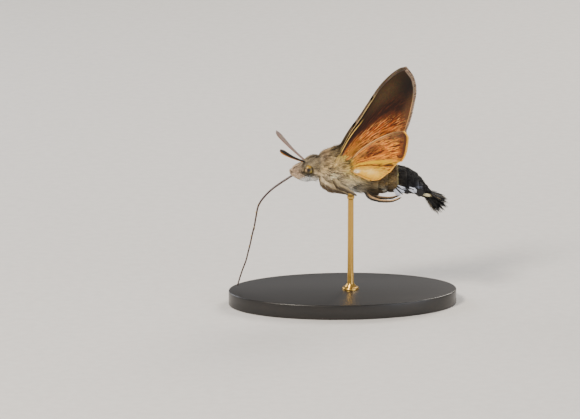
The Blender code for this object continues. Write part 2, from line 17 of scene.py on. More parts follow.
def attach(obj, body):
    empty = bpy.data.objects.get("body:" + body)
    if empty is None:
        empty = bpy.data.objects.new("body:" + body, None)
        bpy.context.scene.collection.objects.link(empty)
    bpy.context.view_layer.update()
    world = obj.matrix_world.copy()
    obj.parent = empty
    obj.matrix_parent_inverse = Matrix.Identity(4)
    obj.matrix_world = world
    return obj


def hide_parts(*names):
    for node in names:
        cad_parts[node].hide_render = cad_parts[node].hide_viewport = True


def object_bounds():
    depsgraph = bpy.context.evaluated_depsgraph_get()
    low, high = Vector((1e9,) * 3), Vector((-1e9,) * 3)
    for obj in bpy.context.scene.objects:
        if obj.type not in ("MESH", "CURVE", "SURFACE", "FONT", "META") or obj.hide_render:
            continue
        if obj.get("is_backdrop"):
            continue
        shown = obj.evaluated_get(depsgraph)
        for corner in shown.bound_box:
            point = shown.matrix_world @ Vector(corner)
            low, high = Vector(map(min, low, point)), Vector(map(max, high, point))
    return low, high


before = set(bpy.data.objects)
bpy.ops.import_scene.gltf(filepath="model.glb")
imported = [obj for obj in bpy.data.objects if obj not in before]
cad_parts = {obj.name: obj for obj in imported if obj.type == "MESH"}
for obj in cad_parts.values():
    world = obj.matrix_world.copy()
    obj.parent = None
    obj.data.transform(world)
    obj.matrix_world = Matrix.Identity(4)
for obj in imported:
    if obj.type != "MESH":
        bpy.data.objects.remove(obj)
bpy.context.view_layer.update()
MM = 0.001
SIDES = {"left": -1, "right": 1}
dice = np.random.default_rng(7)

# %% [markdown]
# ## Camera
#
# A long lens from a metre away keeps a small animal free of distortion. The camera looks a little down and a
# little towards the moth's face. It could be moved by eye, but it is surer to work its place out, from the
# point that should sit in the middle of the picture and from how many millimetres the picture is wide there.

# %% Camera
VIEW_TURN = math.radians(3)
VIEW_TILT = math.radians(14)
PICTURE_WIDTH = 116.0
PICTURE_CENTRE = (-10.6, 18.9)  # to the right and up from the origin, as the camera sees it
PICTURE_DEPTH = -8.5  # the moth's distance behind the origin, as the camera sees it
LENS = 300.0
SENSOR = 36.0

rightward = Vector((math.cos(VIEW_TURN), -math.sin(VIEW_TURN), 0))
level = math.cos(VIEW_TILT)
ahead = Vector((math.sin(VIEW_TURN) * level, math.cos(VIEW_TURN) * level, -math.sin(VIEW_TILT)))
upward = rightward.cross(ahead)
distance = PICTURE_WIDTH * LENS / SENSOR
camera_place = rightward * PICTURE_CENTRE[0] + upward * PICTURE_CENTRE[1] + ahead * (PICTURE_DEPTH - distance)
camera_turn = Matrix((rightward, upward, -ahead)).transposed().to_euler()
bpy.ops.object.camera_add(location=camera_place * MM, rotation=camera_turn)
camera = bpy.context.object
camera.data.lens = LENS
camera.data.sensor_width = SENSOR
camera.data.clip_start = 0.01
bpy.context.scene.camera = camera
print("camera distance in mm:", round(distance))

# %% [markdown]
# ## Helpers for materials
#
# Colours are picked as sRGB hex values, as in a paint program, but shaders work in linear light, so one
# function converts them. Another adds a node, sets it and links it. Nearly every surface here has a colour and
# a fine relief, so a third wires these two to the material's shader.

# %% Helpers for materials
def linear(hex_colour):
    """The linear red, green and blue of an sRGB hex colour."""
    parts = [int(hex_colour[i:i + 2], 16) / 255 for i in (0, 2, 4)]
    return np.array([p / 12.92 if p <= 0.04045 else ((p + 0.055) / 1.055) ** 2.4 for p in parts])


def set_sockets(node, sockets):
    """Gives each socket a value, or a link from another socket, or from the first one of another node."""
    for key, value in sockets.items():
        if isinstance(value, bpy.types.Node):
            value = value.outputs[0]
        if isinstance(value, bpy.types.NodeSocket):
            node.id_data.links.new(value, node.inputs[key])
        elif isinstance(value, str):
            node.inputs[key].default_value = (*linear(value), 1)
        else:
            node.inputs[key].default_value = value


def add_node(material, kind, sockets=None, stops=(), **settings):
    """Adds a shader node. settings are its own properties, stops a colour ramp's (place, colour) pairs."""
    node = material.node_tree.nodes.new("ShaderNode" + kind)
    for key, value in settings.items():
        setattr(node, key, value)
    while stops and len(node.color_ramp.elements) < len(stops):
        node.color_ramp.elements.new(0.5)
    for k, (place, colour) in enumerate(stops):
        node.color_ramp.elements[k].position = place
        node.color_ramp.elements[k].color = (*linear(colour), 1)
    set_sockets(node, sockets or {})
    return node


def new_material(name):
    material = bpy.data.materials.new(name)
    material.use_nodes = True
    return material


def finish(material, colour, roughness, sockets, height=None, strength=0, depth=0, invert=False):
    """Sets the material's shader. A height makes a relief of this depth in mm, sunk where it is inverted."""
    if height is not None:
        relief = {"Strength": strength, "Distance": depth * MM, "Height": height}
        sockets["Normal"] = add_node(material, "Bump", relief, invert=invert)
    shader = material.node_tree.nodes["Principled BSDF"]
    set_sockets(shader, {"Base Color": colour, "Roughness": roughness, **sockets})


print("white is linear", linear("ffffff"), "and mid grey", linear("808080").round(3))

# %% [markdown]
# ## Floor and light
#
# A plain pale floor and soft lamps show the model as on a studio table. A large key lamp from the upper left
# of the camera draws the fur, a wide fill keeps the shadows open, and two lamps behind light the other sides.
# Hard sun as outdoors would draw more, but it would hide half the moth in shadow.

# %% Floor and light
def select_only(*pieces):
    """Back to object mode, with these pieces selected and nothing else. The first one is active."""
    if bpy.context.object and bpy.context.object.mode != "OBJECT":
        bpy.ops.object.mode_set(mode="OBJECT")
    bpy.ops.object.select_all(action="DESELECT")
    for piece in reversed(pieces):
        piece.select_set(True)
        bpy.context.view_layer.objects.active = piece


select_only()
bpy.ops.mesh.primitive_plane_add(size=6)
floor = bpy.context.object
floor.name = "studio_floor"
# Uncoated paper: matt all over, with fibres that just show. They are 2 mm long, as real ones may be.
paper = new_material("matt_studio_paper")
place = add_node(paper, "TexCoord")
fibres = add_node(paper, "TexNoise", {"Vector": place.outputs["Object"], "Scale": 1 / (2 * MM), "Detail": 2})
greys = add_node(paper, "ValToRGB", {"Fac": fibres}, stops=((0.3, "d9d7d3"), (0.7, "dfddd9")))
finish(paper, greys, 0.9, {})
floor.data.materials.append(paper)
floor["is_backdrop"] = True

LAMPS = {  # place in mm, size in mm, power in watts, colour
    "key_lamp": ((-260, -330, 420), 130, 3.6, "fff4e6"),
    "fill_lamp": ((330, -300, 160), 300, 0.9, "eef3ff"),
    "rear_lamp": ((260, 330, 340), 220, 2.0, "fff6ea"),
    "far_side_lamp": ((-330, 240, 200), 260, 1.0, "f4f6ff"),
}
LIT_POINT = Vector((0, 0, 25))
for name, (place, size, power, colour) in LAMPS.items():
    aim = (LIT_POINT - Vector(place)).to_track_quat("-Z", "Y").to_euler()
    bpy.ops.object.light_add(type="AREA", location=Vector(place) * MM, rotation=aim)
    lamp = bpy.context.object
    lamp.name = name
    lamp.data.size = size * MM
    lamp.data.energy = power
    lamp.data.color = linear(colour)
world = bpy.data.worlds.new("soft_room")
bpy.context.scene.world = world
world.use_nodes = True
set_sockets(world.node_tree.nodes["Background"], {"Color": "eceae8", "Strength": 0.42})
print("lamps:", len(LAMPS))

# %% [markdown]
# ## Curves and rings
#
# Nearly every part of an insect is a tube that swells and narrows. A bevelled curve gives only round tubes, so
# each is lofted here as by hand: circles are added along its line in edit mode, stretched where the body is
# flatter, and bridged. A smooth curve through a few named places gives the line.

# %% Curves and rings
def spline_point(points, share):
    """The point at this share of a smooth curve through tuples of any length."""
    last = len(points) - 1
    place = min(max(share, 0.0), 1.0) * last
    i = min(int(place), last - 1)
    t = place - i
    before, start, end, after = (points[min(max(k, 0), last)] for k in (i - 1, i, i + 1, i + 2))
    return tuple(
        0.5 * (2 * b + (c - a) * t + (2 * a - 5 * b + 4 * c - d) * t**2 + (3 * b - a - 3 * c + d) * t**3)
        for a, b, c, d in zip(before, start, end, after)
    )


def loft(name, rings, sides):
    """One closed tube through rings of (centre in mm, turn, half height in mm, half width in mm)."""
    select_only()
    bpy.ops.object.add(type="MESH")
    made = bpy.context.object
    made.name = made.data.name = name
    bpy.ops.object.mode_set(mode="EDIT")
    for centre, turn, high, wide in rings:
        place, tilt = Vector(centre) * MM, turn.to_euler()
        bpy.ops.mesh.primitive_circle_add(vertices=sides, radius=high * MM, location=place, rotation=tilt)
        if wide != high:
            bpy.ops.transform.resize(
                value=(1, wide / high, 1),
                orient_matrix=turn.to_matrix(),
                orient_matrix_type="GLOBAL",
                center_override=place,
            )
    bpy.ops.mesh.select_all(action="SELECT")
    bpy.ops.mesh.bridge_edge_loops()
    bpy.ops.mesh.select_all(action="SELECT")
    bpy.ops.mesh.fill_holes(sides=0)
    bpy.ops.mesh.normals_make_consistent(inside=False)
    bpy.ops.object.mode_set(mode="OBJECT")
    bpy.ops.object.shade_smooth()
    return made


def path_rings(places):
    """Rings across a line of (x, y, z, radius) places, which turn with the line and don't twist."""
    centres = [Vector(place[:3]) for place in places]
    heading = centres[1] - centres[0]
    turn = heading.to_track_quat("Z", "Y")
    rings = []
    for k, centre in enumerate(centres):
        onward = centres[min(k + 1, len(centres) - 1)] - centres[max(k - 1, 0)]
        turn = heading.rotation_difference(onward) @ turn
        heading = onward
        rings.append((centre, turn, places[k][3], places[k][3]))
    return rings


def apply_modifier(piece, kind, **settings):
    """Adds a modifier, sets it and applies it."""
    select_only(piece)
    bpy.ops.object.modifier_add(type=kind)
    modifier = piece.modifiers[-1]
    for key, value in settings.items():
        setattr(modifier, key, value)
    bpy.ops.object.modifier_apply(modifier=modifier.name)


def join(name, pieces):
    """Joins the pieces into the first one."""
    select_only(*pieces)
    bpy.ops.object.join()
    pieces[0].name = pieces[0].data.name = name
    return pieces[0]


def place_on_body(piece, material, slot, *nodes):
    """The piece rides on the one body, takes the material and stands for the plain solids. The slot is not
    used.
    """
    piece.data.materials.append(material)
    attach(piece, "root")
    if nodes:
        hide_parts(*nodes)
    print(piece.name, "faces:", len(piece.data.polygons))


print("half way along a test curve:", spline_point(((0, 0), (1, 2), (3, 1)), 0.5))

# %% [markdown]
# ## The skin
#
# Under its hair a moth is one skin from the palps to the tail, with no seams between head, thorax and abdomen.
# The outline of the coat is known, so the skin is the same set of rings, drawn in by the depth of the hair.
# The palps are the two feelers that lie against the face like a snout.

# %% The outline of the coat
BODY_OUTLINE = (  # X, Z, tilt downwards in degrees, half height, half width
    (-10.05, 27.95, 0, 0.45, 0.55), (-9.8, 27.98, 0, 0.8, 0.95), (-9, 28.1, 0, 1.18, 1.45),
    (-8, 28.25, 0, 1.65, 1.85), (-7, 28.45, 0, 2.25, 2.05), (-6.2, 28.42, 0, 2.6, 2.15),
    (-5.15, 28.3, 0, 2.72, 2.32), (-4, 28.4, 0, 3.25, 2.95), (-2.8, 28.45, 0, 3.75, 3.4),
    (-1.4, 28.4, 0, 4.2, 3.7), (0, 28.2, 2, 4.45, 3.85), (1.4, 27.95, 4, 4.5, 3.85),
    (2.8, 27.5, 6, 4.3, 3.72), (4.25, 27.05, 8, 3.9, 3.55), (6.4, 26.35, 7, 3.52, 3.5),
    (8.4, 26.07, 6, 3.3, 3.5), (10.4, 25.86, 8, 3.05, 3.5), (12.6, 25.35, 18, 2.75, 3.35),
    (13.9, 24.8, 27, 2.35, 3.05), (14.95, 24.15, 34, 1.95, 2.6), (15.85, 23.42, 39, 1.55, 2.1),
    (16.6, 22.78, 41, 1.2, 1.65), (17.3, 22.25, 37, 1, 1.35), (18.3, 21.5, 35, 0.62, 0.85),
    (18.9, 21.08, 35, 0.35, 0.45),
)
OUTLINE = np.array(BODY_OUTLINE)
COAT_DEPTH = (  # X, depth
    (-10.05, 0.16), (-8, 0.26), (-5.3, 0.42), (0, 0.5), (4.2, 0.45), (8, 0.34), (16.6, 0.22), (19, 0.1),
)
ABDOMEN_START = 4.9
ABDOMEN_RINGS = (6.75, 8.65, 10.85, 12.55, 13.95, 15.05, 15.95, 16.6)  # X of the rear edge of each ring
RING_STEP = 0.1
PALP_LINE = (  # X, Y, Z, radius
    (-5.6, 1.05, 26.45, 0.4), (-7.2, 1.18, 26.14, 0.5), (-8.4, 1.14, 26.48, 0.58),
    (-9.4, 1.02, 27, 0.6), (-10.1, 0.86, 27.36, 0.5), (-10.45, 0.74, 27.52, 0.3),
)


def bell(value, middle, reach):
    """1 at the middle, and hardly anything beyond twice the reach."""
    return np.exp(-((value - middle) / reach) ** 2)


def slope(value, start, end):
    """0 up to the start, 1 from the end on, whichever of them is lower."""
    return np.clip((value - start) / (end - start), 0, 1)


def table_at(x, table):
    """The value at this X of a table of (X, value) pairs."""
    return np.interp(x, *np.array(table).T)


def outline_at(x):
    """(Z of the middle, tilt, half height, half width) of the body at this X."""
    return [np.interp(x, OUTLINE[:, 0], column) for column in OUTLINE.T[1:]]


def ring_flare(x):
    """How far the abdomen stands out at this X: each ring widens to its rear edge and steps in."""
    edges = np.array((ABDOMEN_START,) + ABDOMEN_RINGS)
    i = np.searchsorted(edges, x)
    if i == 0 or i == len(edges):
        return 0.0
    return RING_STEP * ((x - edges[i - 1]) / (edges[i] - edges[i - 1]) - 0.5)


print("body length in mm:", OUTLINE[-1, 0] - OUTLINE[0, 0])

# %% [markdown]
# ## Fusing the skin
#
# The body and the two palps are lofted as three tubes. They could be joined by a Boolean, which leaves a sharp
# crease, so Remesh makes one even surface of them instead, and Smooth takes its small steps away. The even
# faces are handy later: a tuft of hair grows from each.

# %% Lofting and fusing the skin
NECK = (-5.3, 0.08, 0.6)  # X, how much the skin draws in there, and over what length
SKIN_STEPS = 96
SKIN_VOXEL = 0.12


def skin_ring(share):
    x, z, tilt, high, wide = spline_point(BODY_OUTLINE, share)
    neck_x, neck_depth, neck_length = NECK
    inset = table_at(x, COAT_DEPTH) + neck_depth * bell(x, neck_x, neck_length) - ring_flare(x)
    turn = Quaternion((0, 1, 0), math.radians(90 + tilt))
    return (x, 0, z), turn, high - inset, wide - inset


tubes = [loft("moth_skin", [skin_ring(k / SKIN_STEPS) for k in range(SKIN_STEPS + 1)], 48)]
for side in SIDES.values():
    palp_line = [(x, side * y, z, radius) for x, y, z, radius in PALP_LINE]
    tubes.append(loft("palp", path_rings([spline_point(palp_line, k / 16) for k in range(17)]), 20))
skin = join("moth_skin", tubes)
apply_modifier(skin, "REMESH", mode="VOXEL", voxel_size=SKIN_VOXEL * MM)
apply_modifier(skin, "SMOOTH", factor=0.5, iterations=3)
bpy.ops.object.shade_smooth()
print("skin faces:", len(skin.data.polygons))

# %% [markdown]
# ## Markings of the body
#
# The moth is grey-brown in front, olive at the wings' roots, white under the face and black behind, with white
# tufts at the sides. A painted image would need a seamless map, so these colours are named patches on the
# body, each with a middle, a reach and a strength. The same function colours the skin and every tuft of hair,
# so the two always agree.

# %% Markings of the body
BACKGROUND = (  # X, colour
    (-10.6, "ccb092"), (-9.6, "baa084"), (-8, "9a8a6e"), (-4, "b09a70"), (0.5, "b09866"), (4.5, "84693c"),
    (8, "5c4728"), (10.62, "584628"), (10.66, "94895f"), (10.87, "94895f"), (10.9, "040405"), (19, "030304"),
)
# Most patches are the moth's own colours; a few are painted shade and painted sheen, as named below.
PATCHES = (  # X, height from belly -1 to back 1, reach along X, reach in height, colour, strength
    (-1.7, 1.05, 2.5, 0.5, "2a2016", 1),  # dark crest between the wings
    (-4.3, 0.72, 0.7, 0.35, "a88c68", 0.9),  # pale collar
    (-6.2, 1, 1.2, 0.4, "5c5448", 0.85),  # grey crown
    (-5.1, 0.45, 0.5, 0.5, "5a544a", 0.7),  # grey lines behind the eye
    (-2.4, 0.2, 1.9, 0.4, "d4b47c", 0.85),  # warm side of the thorax
    (1.4, 0.35, 2.4, 0.38, "e0b83c", 0.95),  # olive-yellow hair at the wings' roots
    (4.2, 0.2, 1.6, 0.4, "a88c48", 0.6),
    (-2.8, -0.4, 2.2, 0.34, "dcc8a4", 0.9),  # pale breast
    (1.8, -0.4, 2.2, 0.3, "d4c49e", 0.75),
    (0.4, -0.85, 2.6, 0.3, "bcbcb8", 0.85),  # pale belly
    (5.2, -1, 2.3, 0.66, "080503", 0.98),  # dark under the belly behind the legs, here and in the next row: partly dark hair, partly painted shade
    (9, -1.05, 2.3, 0.6, "0a0704", 0.97),
    (6.4, -0.4, 1.2, 0.14, "a49878", 0.5),
    (7.5, -0.58, 0.32, 0.16, "c8c4b4", 0.9),  # a small pale lock
    (8.6, 0, 1.7, 0.4, "766032", 0.5),
    (-6.3, -1, 2.1, 0.36, "cfcfcc", 0.95),  # white throat
    (-4.6, -0.85, 1, 0.36, "b8b2a4", 0.6),
    (-9.6, -0.3, 0.8, 0.6, "e8c8ac", 0.8),  # pinkish snout
    (-8.25, -0.26, 0.5, 0.17, "241a10", 0.95),  # dark streak before the eye
    (-6.8, -0.52, 1.2, 0.13, "2a2118", 0.85),  # painted shade under the eye
    (8.55, 0, 0.12, 2, "b5a678", 0.55),  # pale line of a ring
    (11.9, 0.75, 0.5, 0.35, "34302c", 0.7),  # painted grey sheen on the black rings, here and in the next two rows
    (14.8, 0.1, 0.42, 0.36, "7c8292", 0.85),
    (13.1, -0.3, 0.35, 0.26, "3c404a", 0.7),
)
PALP_END = -6.6  # the palps are buried in the head behind this X
PALP_EDGE = 0.12  # over this distance the palps' colours turn into those of the head
SKIN_SHADE = 0.62  # painted shade: little light reaches the skin under the coat


def body_height(places):
    """From -1 at the belly to 1 on the back."""
    middle, tilt, high, wide = outline_at(places[:, 0])
    return (places[:, 2] - middle) / high


def both_sides(places):
    """The same places on the moth's right, so that one table serves both sides."""
    return np.column_stack([places[:, 0], np.abs(places[:, 1]), places[:, 2]])


def on_palp(places):
    """How far each place belongs to a palp, from 0 to 1."""
    line = np.array([spline_point(PALP_LINE, k / 24) for k in range(25)])
    line = line[line[:, 0] < PALP_END]
    away = np.linalg.norm(both_sides(places)[:, None] - line[None, :, :3], axis=2) - line[None, :, 3]
    return np.clip(1.4 - away.min(axis=1) / PALP_EDGE, 0, 1)


def lay_over(tints, colour, amount):
    """Lays one colour, or a row of them, over linear colours by an amount for each."""
    return tints + (colour - tints) * amount[:, None]


def body_tints(places):
    """Linear colours of the coat at these places in mm, painted shade and sheen included."""
    x, y, z = places.T
    height = body_height(places)
    stops = [stop for stop, colour in BACKGROUND]
    shades = np.array([linear(colour) for stop, colour in BACKGROUND])
    tints = np.stack([np.interp(x, stops, channel) for channel in shades.T], axis=1)
    for at_x, at_height, reach_x, reach_height, colour, strength in PATCHES:
        near = bell(x, at_x, reach_x) * bell(height, at_height, reach_height)
        tints = lay_over(tints, linear(colour), strength * near)
    low = np.clip((26.42 - z + 0.42 * (x + 8.6)) * 2.6, 0, 1)  # the palps are white below a slanting line
    return lay_over(tints, lay_over(linear("ccb092"), linear("d2d2cf"), low), on_palp(places))


def read(items, key):
    """Three numbers for each vertex or face of a mesh, as rows."""
    rows = np.empty((len(items), 3))
    items.foreach_get(key, rows.ravel())
    return rows


def tint_mesh(mesh, tints):
    """Keeps one colour for each vertex, with or without alpha, in the attribute that the materials read."""
    colours = np.ones((len(tints), 4))
    colours[:, :tints.shape[1]] = tints
    attribute = mesh.color_attributes.new(name="tint", type="FLOAT_COLOR", domain="POINT")
    attribute.data.foreach_set("color", colours.ravel())


# The skin takes the coat's colours, darkened by SKIN_SHADE as painted shade.
tint_mesh(skin.data, body_tints(read(skin.data.vertices, "co") / MM) * SKIN_SHADE)
print("patches:", len(PATCHES))

# %% [markdown]
# ## Skin and hair finishes
#
# The skin is chitin with down on it, dull, and painted darker than the hair as painted shade, because little
# light reaches it under the coat. The hair is made of flat, ribbed scales that look like matt fibres: high
# roughness, a little sheen, no clear reflection. Blender's own hair shader works on strands alone, and these
# are meshes, so the common shader is used. Each tuft is painted darker at its root, a painted shade that gives
# the coat its depth, and a little brighter at its tip. The alpha of its colour says how far along a tuft each
# point is.

# %% Skin and hair finishes
# Chitin with down: dull, mottled and soft to look at between the tufts. The hairs of the down are 0.05 mm
# thick and drawn 0.11 mm thick, so that they show.
downy_skin = new_material("downy_chitin")
tint = add_node(downy_skin, "Attribute", attribute_name="tint")
place = add_node(downy_skin, "TexCoord")
down = add_node(downy_skin, "TexNoise", {"Vector": place.outputs["Object"], "Scale": 9 / MM, "Detail": 3})
mottle = {"Factor": 0.5, 6: tint, 7: down}
mottle = add_node(downy_skin, "Mix", mottle, data_type="RGBA", blend_type="OVERLAY")
finish(downy_skin, mottle.outputs[2], 0.85, {"Specular IOR Level": 0.2}, down, 0.5, 0.06)


def scale_hair(name, roughness, sheen, shine, root_shade):
    """A coat of fine scales: the tint, with painted shade towards the root of each tuft."""
    material = new_material(name)
    tint = add_node(material, "Attribute", attribute_name="tint")
    reach = {"Value": tint.outputs["Alpha"], "From Max": 0.7, "To Min": root_shade, "To Max": 1.12}
    shaded = {0: tint, "Scale": add_node(material, "MapRange", reach)}
    shaded = add_node(material, "VectorMath", shaded, operation="SCALE")
    extras = {"Sheen Weight": sheen, "Sheen Roughness": 0.5, "Specular IOR Level": shine}
    finish(material, shaded, roughness, extras)
    return material


body_hair = scale_hair("matt_scale_hair", 0.75, 0.12, 0.25, 0.28)  # dry, split scales: matt, with deep painted shade at the roots
black_scales = scale_hair("satin_black_scales", 0.5, 0, 0.35, 0.6)  # smooth, dense scales: a faint gleam
white_scales = scale_hair("white_scales", 0.6, 0.1, 0.5, 0.75)  # hollow scales: bright, with little painted shade at the roots
print("finishes:", downy_skin.name, body_hair.name, black_scales.name, white_scales.name)

# %% [markdown]
# ## Growing hair and scales
#
# A hair or a scale is a thin, closed, three-sided blade that bends as it grows. Blender's own hair makes
# strands without faces, and thousands of blades are far too many to place by hand, so one function makes them
# all as one mesh from arrays. Each blade also gets a small patch of its own in the OFBake map, at its root's
# place on the unrolled body, so that a baked picture of the coat keeps the right colour for each blade.

# %% Growing hair and scales
HAIR = ((0, 0.7), (0.4, 1), (0.75, 0.7), (1, 0))  # share of the length, share of the width
SCALE = ((0, 0.45), (0.3, 0.9), (0.7, 1), (0.92, 0.55), (1, 0))
PATCH = 0.003  # the size of a blade's patch in the map
EDGES = ((0, 1), (1, 2), (2, 0))


def unit(vectors):
    return vectors / np.maximum(np.linalg.norm(vectors, axis=-1, keepdims=True), 1e-9)


def as_arrays(rows):
    """One array for each column of the rows."""
    return [np.array(column, float) for column in zip(*rows)]


def ripple(places, size, seed):
    """A smooth, seeded wave from about -1 to 1 over the places, with bumps of about this size in mm."""
    waves = np.random.default_rng(seed)
    total = np.zeros(len(places))
    for k in range(6):
        direction = waves.normal(size=3)
        total += np.sin(places @ direction * (2.2 / size) + waves.uniform(0, 2 * math.pi))
    return total / 3


def grow(name, roots, normals, lies, lengths, widths, lift, tints, spots, profile=HAIR, flat=0.3, sink=0.1):
    """Blades in mm along lies, lifted from the surface by these degrees at the root and at the tip.

    flat is their thickness for their width, sink their roots' depth, and spots their places in the map."""
    count, last_ring = len(roots), 3 * len(profile) - 6
    lies = unit(lies - normals * np.sum(lies * normals, axis=1, keepdims=True))
    across = np.cross(lies, normals)
    point = roots - normals * sink
    corners, previous = [], 0
    for share, breadth in profile:
        angle = (np.radians(lift[0] + (lift[1] - lift[0]) * share) * np.ones(count))[:, None]
        heading = lies * np.cos(angle) + normals * np.sin(angle)
        point = point + heading * (lengths * (share - previous))[:, None]
        previous = share
        half = (0.5 * widths * breadth)[:, None]
        ridge = (normals * np.cos(angle) - lies * np.sin(angle)) * half * 2 * flat
        corners += (point - across * half, point + across * half, point + ridge) if breadth else (point,)
    faces = [(0, 1, 2)]
    for near in range(0, last_ring + 1, 3):
        far = near + 3
        for i, j in EDGES:
            if near == last_ring:
                faces.append((near + j, near + i, far))
            else:
                faces += [(near + j, near + i, far + i), (near + j, far + i, far + j)]
    faces = (np.array(faces) + len(corners) * np.arange(count)[:, None, None]).reshape(-1, 3)
    mesh = bpy.data.meshes.new(name)
    mesh.from_pydata(np.stack(corners, axis=1).reshape(-1, 3) * MM, [], faces, shade_flat=False)
    reach = np.append(np.repeat([share for share, breadth in profile[:-1]], 3), 1)
    tint_mesh(mesh, np.column_stack([np.repeat(tints, len(corners), axis=0), np.tile(reach, count)]))
    sideways = np.append(np.tile((-0.5, 0, 0.5), len(profile) - 1), 0)
    places = (spots[:, None] + np.column_stack([sideways, reach - 0.5]) * PATCH).reshape(-1, 2)
    mesh.uv_layers.new(name="OFBake").data.foreach_set("uv", places[faces.ravel()].ravel())
    piece = bpy.data.objects.new(name, mesh)
    bpy.context.scene.collection.objects.link(piece)
    return piece


print("triangles of a hair:", 6 * len(HAIR) - 8, "and of a scale:", 6 * len(SCALE) - 8)

# %% [markdown]
# ## Roots of the coat
#
# Fur is denser and finer on the face than elsewhere, and the eyes are bare. Roots could be strewn at random,
# which leaves bald spots, so one blade grows from nearly every face of the skin, and a second one from some
# faces of the head.

# %% Roots of the coat
EYE_CENTRE = (-6.95, 1.55, 28.1)
EYE_RADII = (1, 0.8, 1.05)
EYE_OPENING = (0.88, 1, 0.99)  # how much of the eye the hair leaves free
HEAD_END = -5.3
HEAD_EXTRA = 0.5  # how many faces of the head have a second blade
COAT_END = 18.2

roots, normals = read(skin.data.polygons, "center") / MM, read(skin.data.polygons, "normal")
second = dice.random(len(roots)) < np.where(roots[:, 0] < HEAD_END, HEAD_EXTRA, 0)
roots = np.concatenate([roots, roots[second] + dice.normal(size=(second.sum(), 3)) * 0.05])
normals = np.concatenate([normals, normals[second]])
from_eye = (both_sides(roots) - EYE_CENTRE) / (np.array(EYE_RADII) * EYE_OPENING)
keep = (np.linalg.norm(from_eye, axis=1) > 1) & (roots[:, 0] < COAT_END)
roots, normals = roots[keep], normals[keep]
roots += dice.normal(size=roots.shape) * 0.03
print("tufts:", len(roots))

# %% [markdown]
# ## Lie of the coat
#
# The hair lies back towards the tail, but forward on the face, and it parts round the wings. Neighbours share
# a direction and so form locks, which is what makes it look like fur and not like velvet. Combing by hand
# would take days, so smooth ripples turn the locks to this side and that.

# %% Lie of the coat
TOWARDS_TAIL = np.array((1, 0, -0.18))
FORWARD = np.array((-1, 0, -0.45))
ALONG_PALP = np.array((-1, 0, 0.35))
WING_ROOT = (1.2, 29.6)  # X, Z

x, y, z = roots.T
height = body_height(roots)
palp_share = on_palp(roots)
on_face = slope(x, -8.1, -8.9)
near_wing = bell(x, WING_ROOT[0], 3.2) * bell(z, WING_ROOT[1], 3.2)
lies = np.tile(TOWARDS_TAIL, (len(roots), 1))
lies[:, 2] += near_wing * np.where(height > 0, 0.3, -0.25) - 0.25 * bell(x, -1, 3) * slope(height, 0, -1)
lies = lay_over(lay_over(lies, FORWARD, on_face), ALONG_PALP, palp_share)
swirl = 0.38 * ripple(roots, 1.1, 3) + 0.22 * ripple(roots, 0.45, 4) + dice.normal(size=len(roots)) * 0.16
swirl *= np.interp(x, (3, 6), (1, 0.55))  # the abdomen is smoother
lies += np.cross(unit(lies), normals) * swirl[:, None]
print("mean lie:", lies.mean(axis=0).round(2))

# %% [markdown]
# ## Length and width of the coat
#
# The hair is shortest on the face and the palps, longest on the thorax and at the wings' roots, and short and
# dense on the rings of the abdomen, where each ring's hair ends in a fringe over the next. One length with a
# little chance would hide these steps, so a table gives it along the body, and a few places change it.

# %% Length and width of the coat
HAIR_LENGTH = (  # X, length
    (-10.6, 0.36), (-8.5, 0.5), (-6, 0.75), (-4, 1.25), (0, 1.45), (4, 1.35), (6.5, 1), (11, 0.85), (19, 0.8),
)
PALP_HAIR = 0.46
HAIR_WIDTH, HEAD_WIDTH = 0.13, 0.09
RING_FRINGE = 0.24  # how far a ring's hair reaches over the next ring
PALE_LINE = (10.64, 10.86)  # a row of broad pale scales round the abdomen, from X to X
PALE_LENGTH, PALE_WIDTH = 0.36, 0.3
SHAGGY_X = 4.6  # dark, shaggy hair hides the hips of the hind legs here
CROWN_X = -5.7  # the hair stands up in a low crest between the antennae and the collar
GUARD_SHARE = 0.07  # a few hairs are longer and thinner, and stand out of the coat
GUARD_LENGTH, GUARD_WIDTH = 1.5, 0.7

crown = bell(x, CROWN_X, 1.2) * slope(height, 0.2, 0.7)
shaggy = bell(x, SHAGGY_X, 2.2) * slope(height, -0.5, -0.8)
lengths = table_at(x, HAIR_LENGTH) * (1 + 0.45 * near_wing)
lengths *= 1 + 0.35 * on_face + 0.5 * bell(x, -2.5, 2.5) * slope(height, -0.4, -1.4)
lengths += (PALP_HAIR - lengths) * palp_share
lengths *= dice.uniform(0.75, 1.2, len(roots))
edges = np.array(ABDOMEN_RINGS)
to_edge = edges[np.minimum(np.searchsorted(edges, x), len(edges) - 1)] - x
on_rings = (x > 5.2) & (x < edges[-1])
trimmed = np.minimum(lengths, to_edge + RING_FRINGE)
lengths = np.where(on_rings & (shaggy < 0.2), trimmed, lengths * (1 + 0.6 * shaggy)) * (1 + 0.55 * crown)
before_line = (x > ABDOMEN_RINGS[1]) & (x < PALE_LINE[0])
lengths[before_line] = np.minimum(lengths, PALE_LINE[0] - x + 0.12)[before_line]
widths = np.where(x < HEAD_END, HEAD_WIDTH, HAIR_WIDTH) * dice.uniform(0.75, 1.2, len(roots))
ring_line = (x > PALE_LINE[0]) & (x < PALE_LINE[1])
lengths[ring_line], widths[ring_line] = PALE_LENGTH, PALE_WIDTH
guard = (dice.random(len(roots)) < GUARD_SHARE) & (palp_share < 0.1) & ~on_rings
lengths[guard] *= GUARD_LENGTH
widths[guard] *= GUARD_WIDTH
print("lengths in mm:", lengths.min().round(2), "to", lengths.max().round(2))

# %% [markdown]
# ## Lift and colour of the coat
#
# A tuft rises at its root and bends down to the body. Brushed fur is never even: whole locks stand up or lie
# flat and catch more or less light. So the same kind of ripple as before lifts the locks, and another one
# paints them brighter or darker: partly painted light and shade on the locks, partly tone of their own.

# %% Lift and colour of the coat
ROOT_LIFT = ((-10, 16), (-6, 24), (-3, 30), (4, 30), (7, 20), (12, 17), (18, 20))  # X, degrees
LOCK_LIGHT = ((-6, 0.75), (-4.5, 1), (4, 1), (6, 0.6))  # X, how much the locks differ in painted light and tone
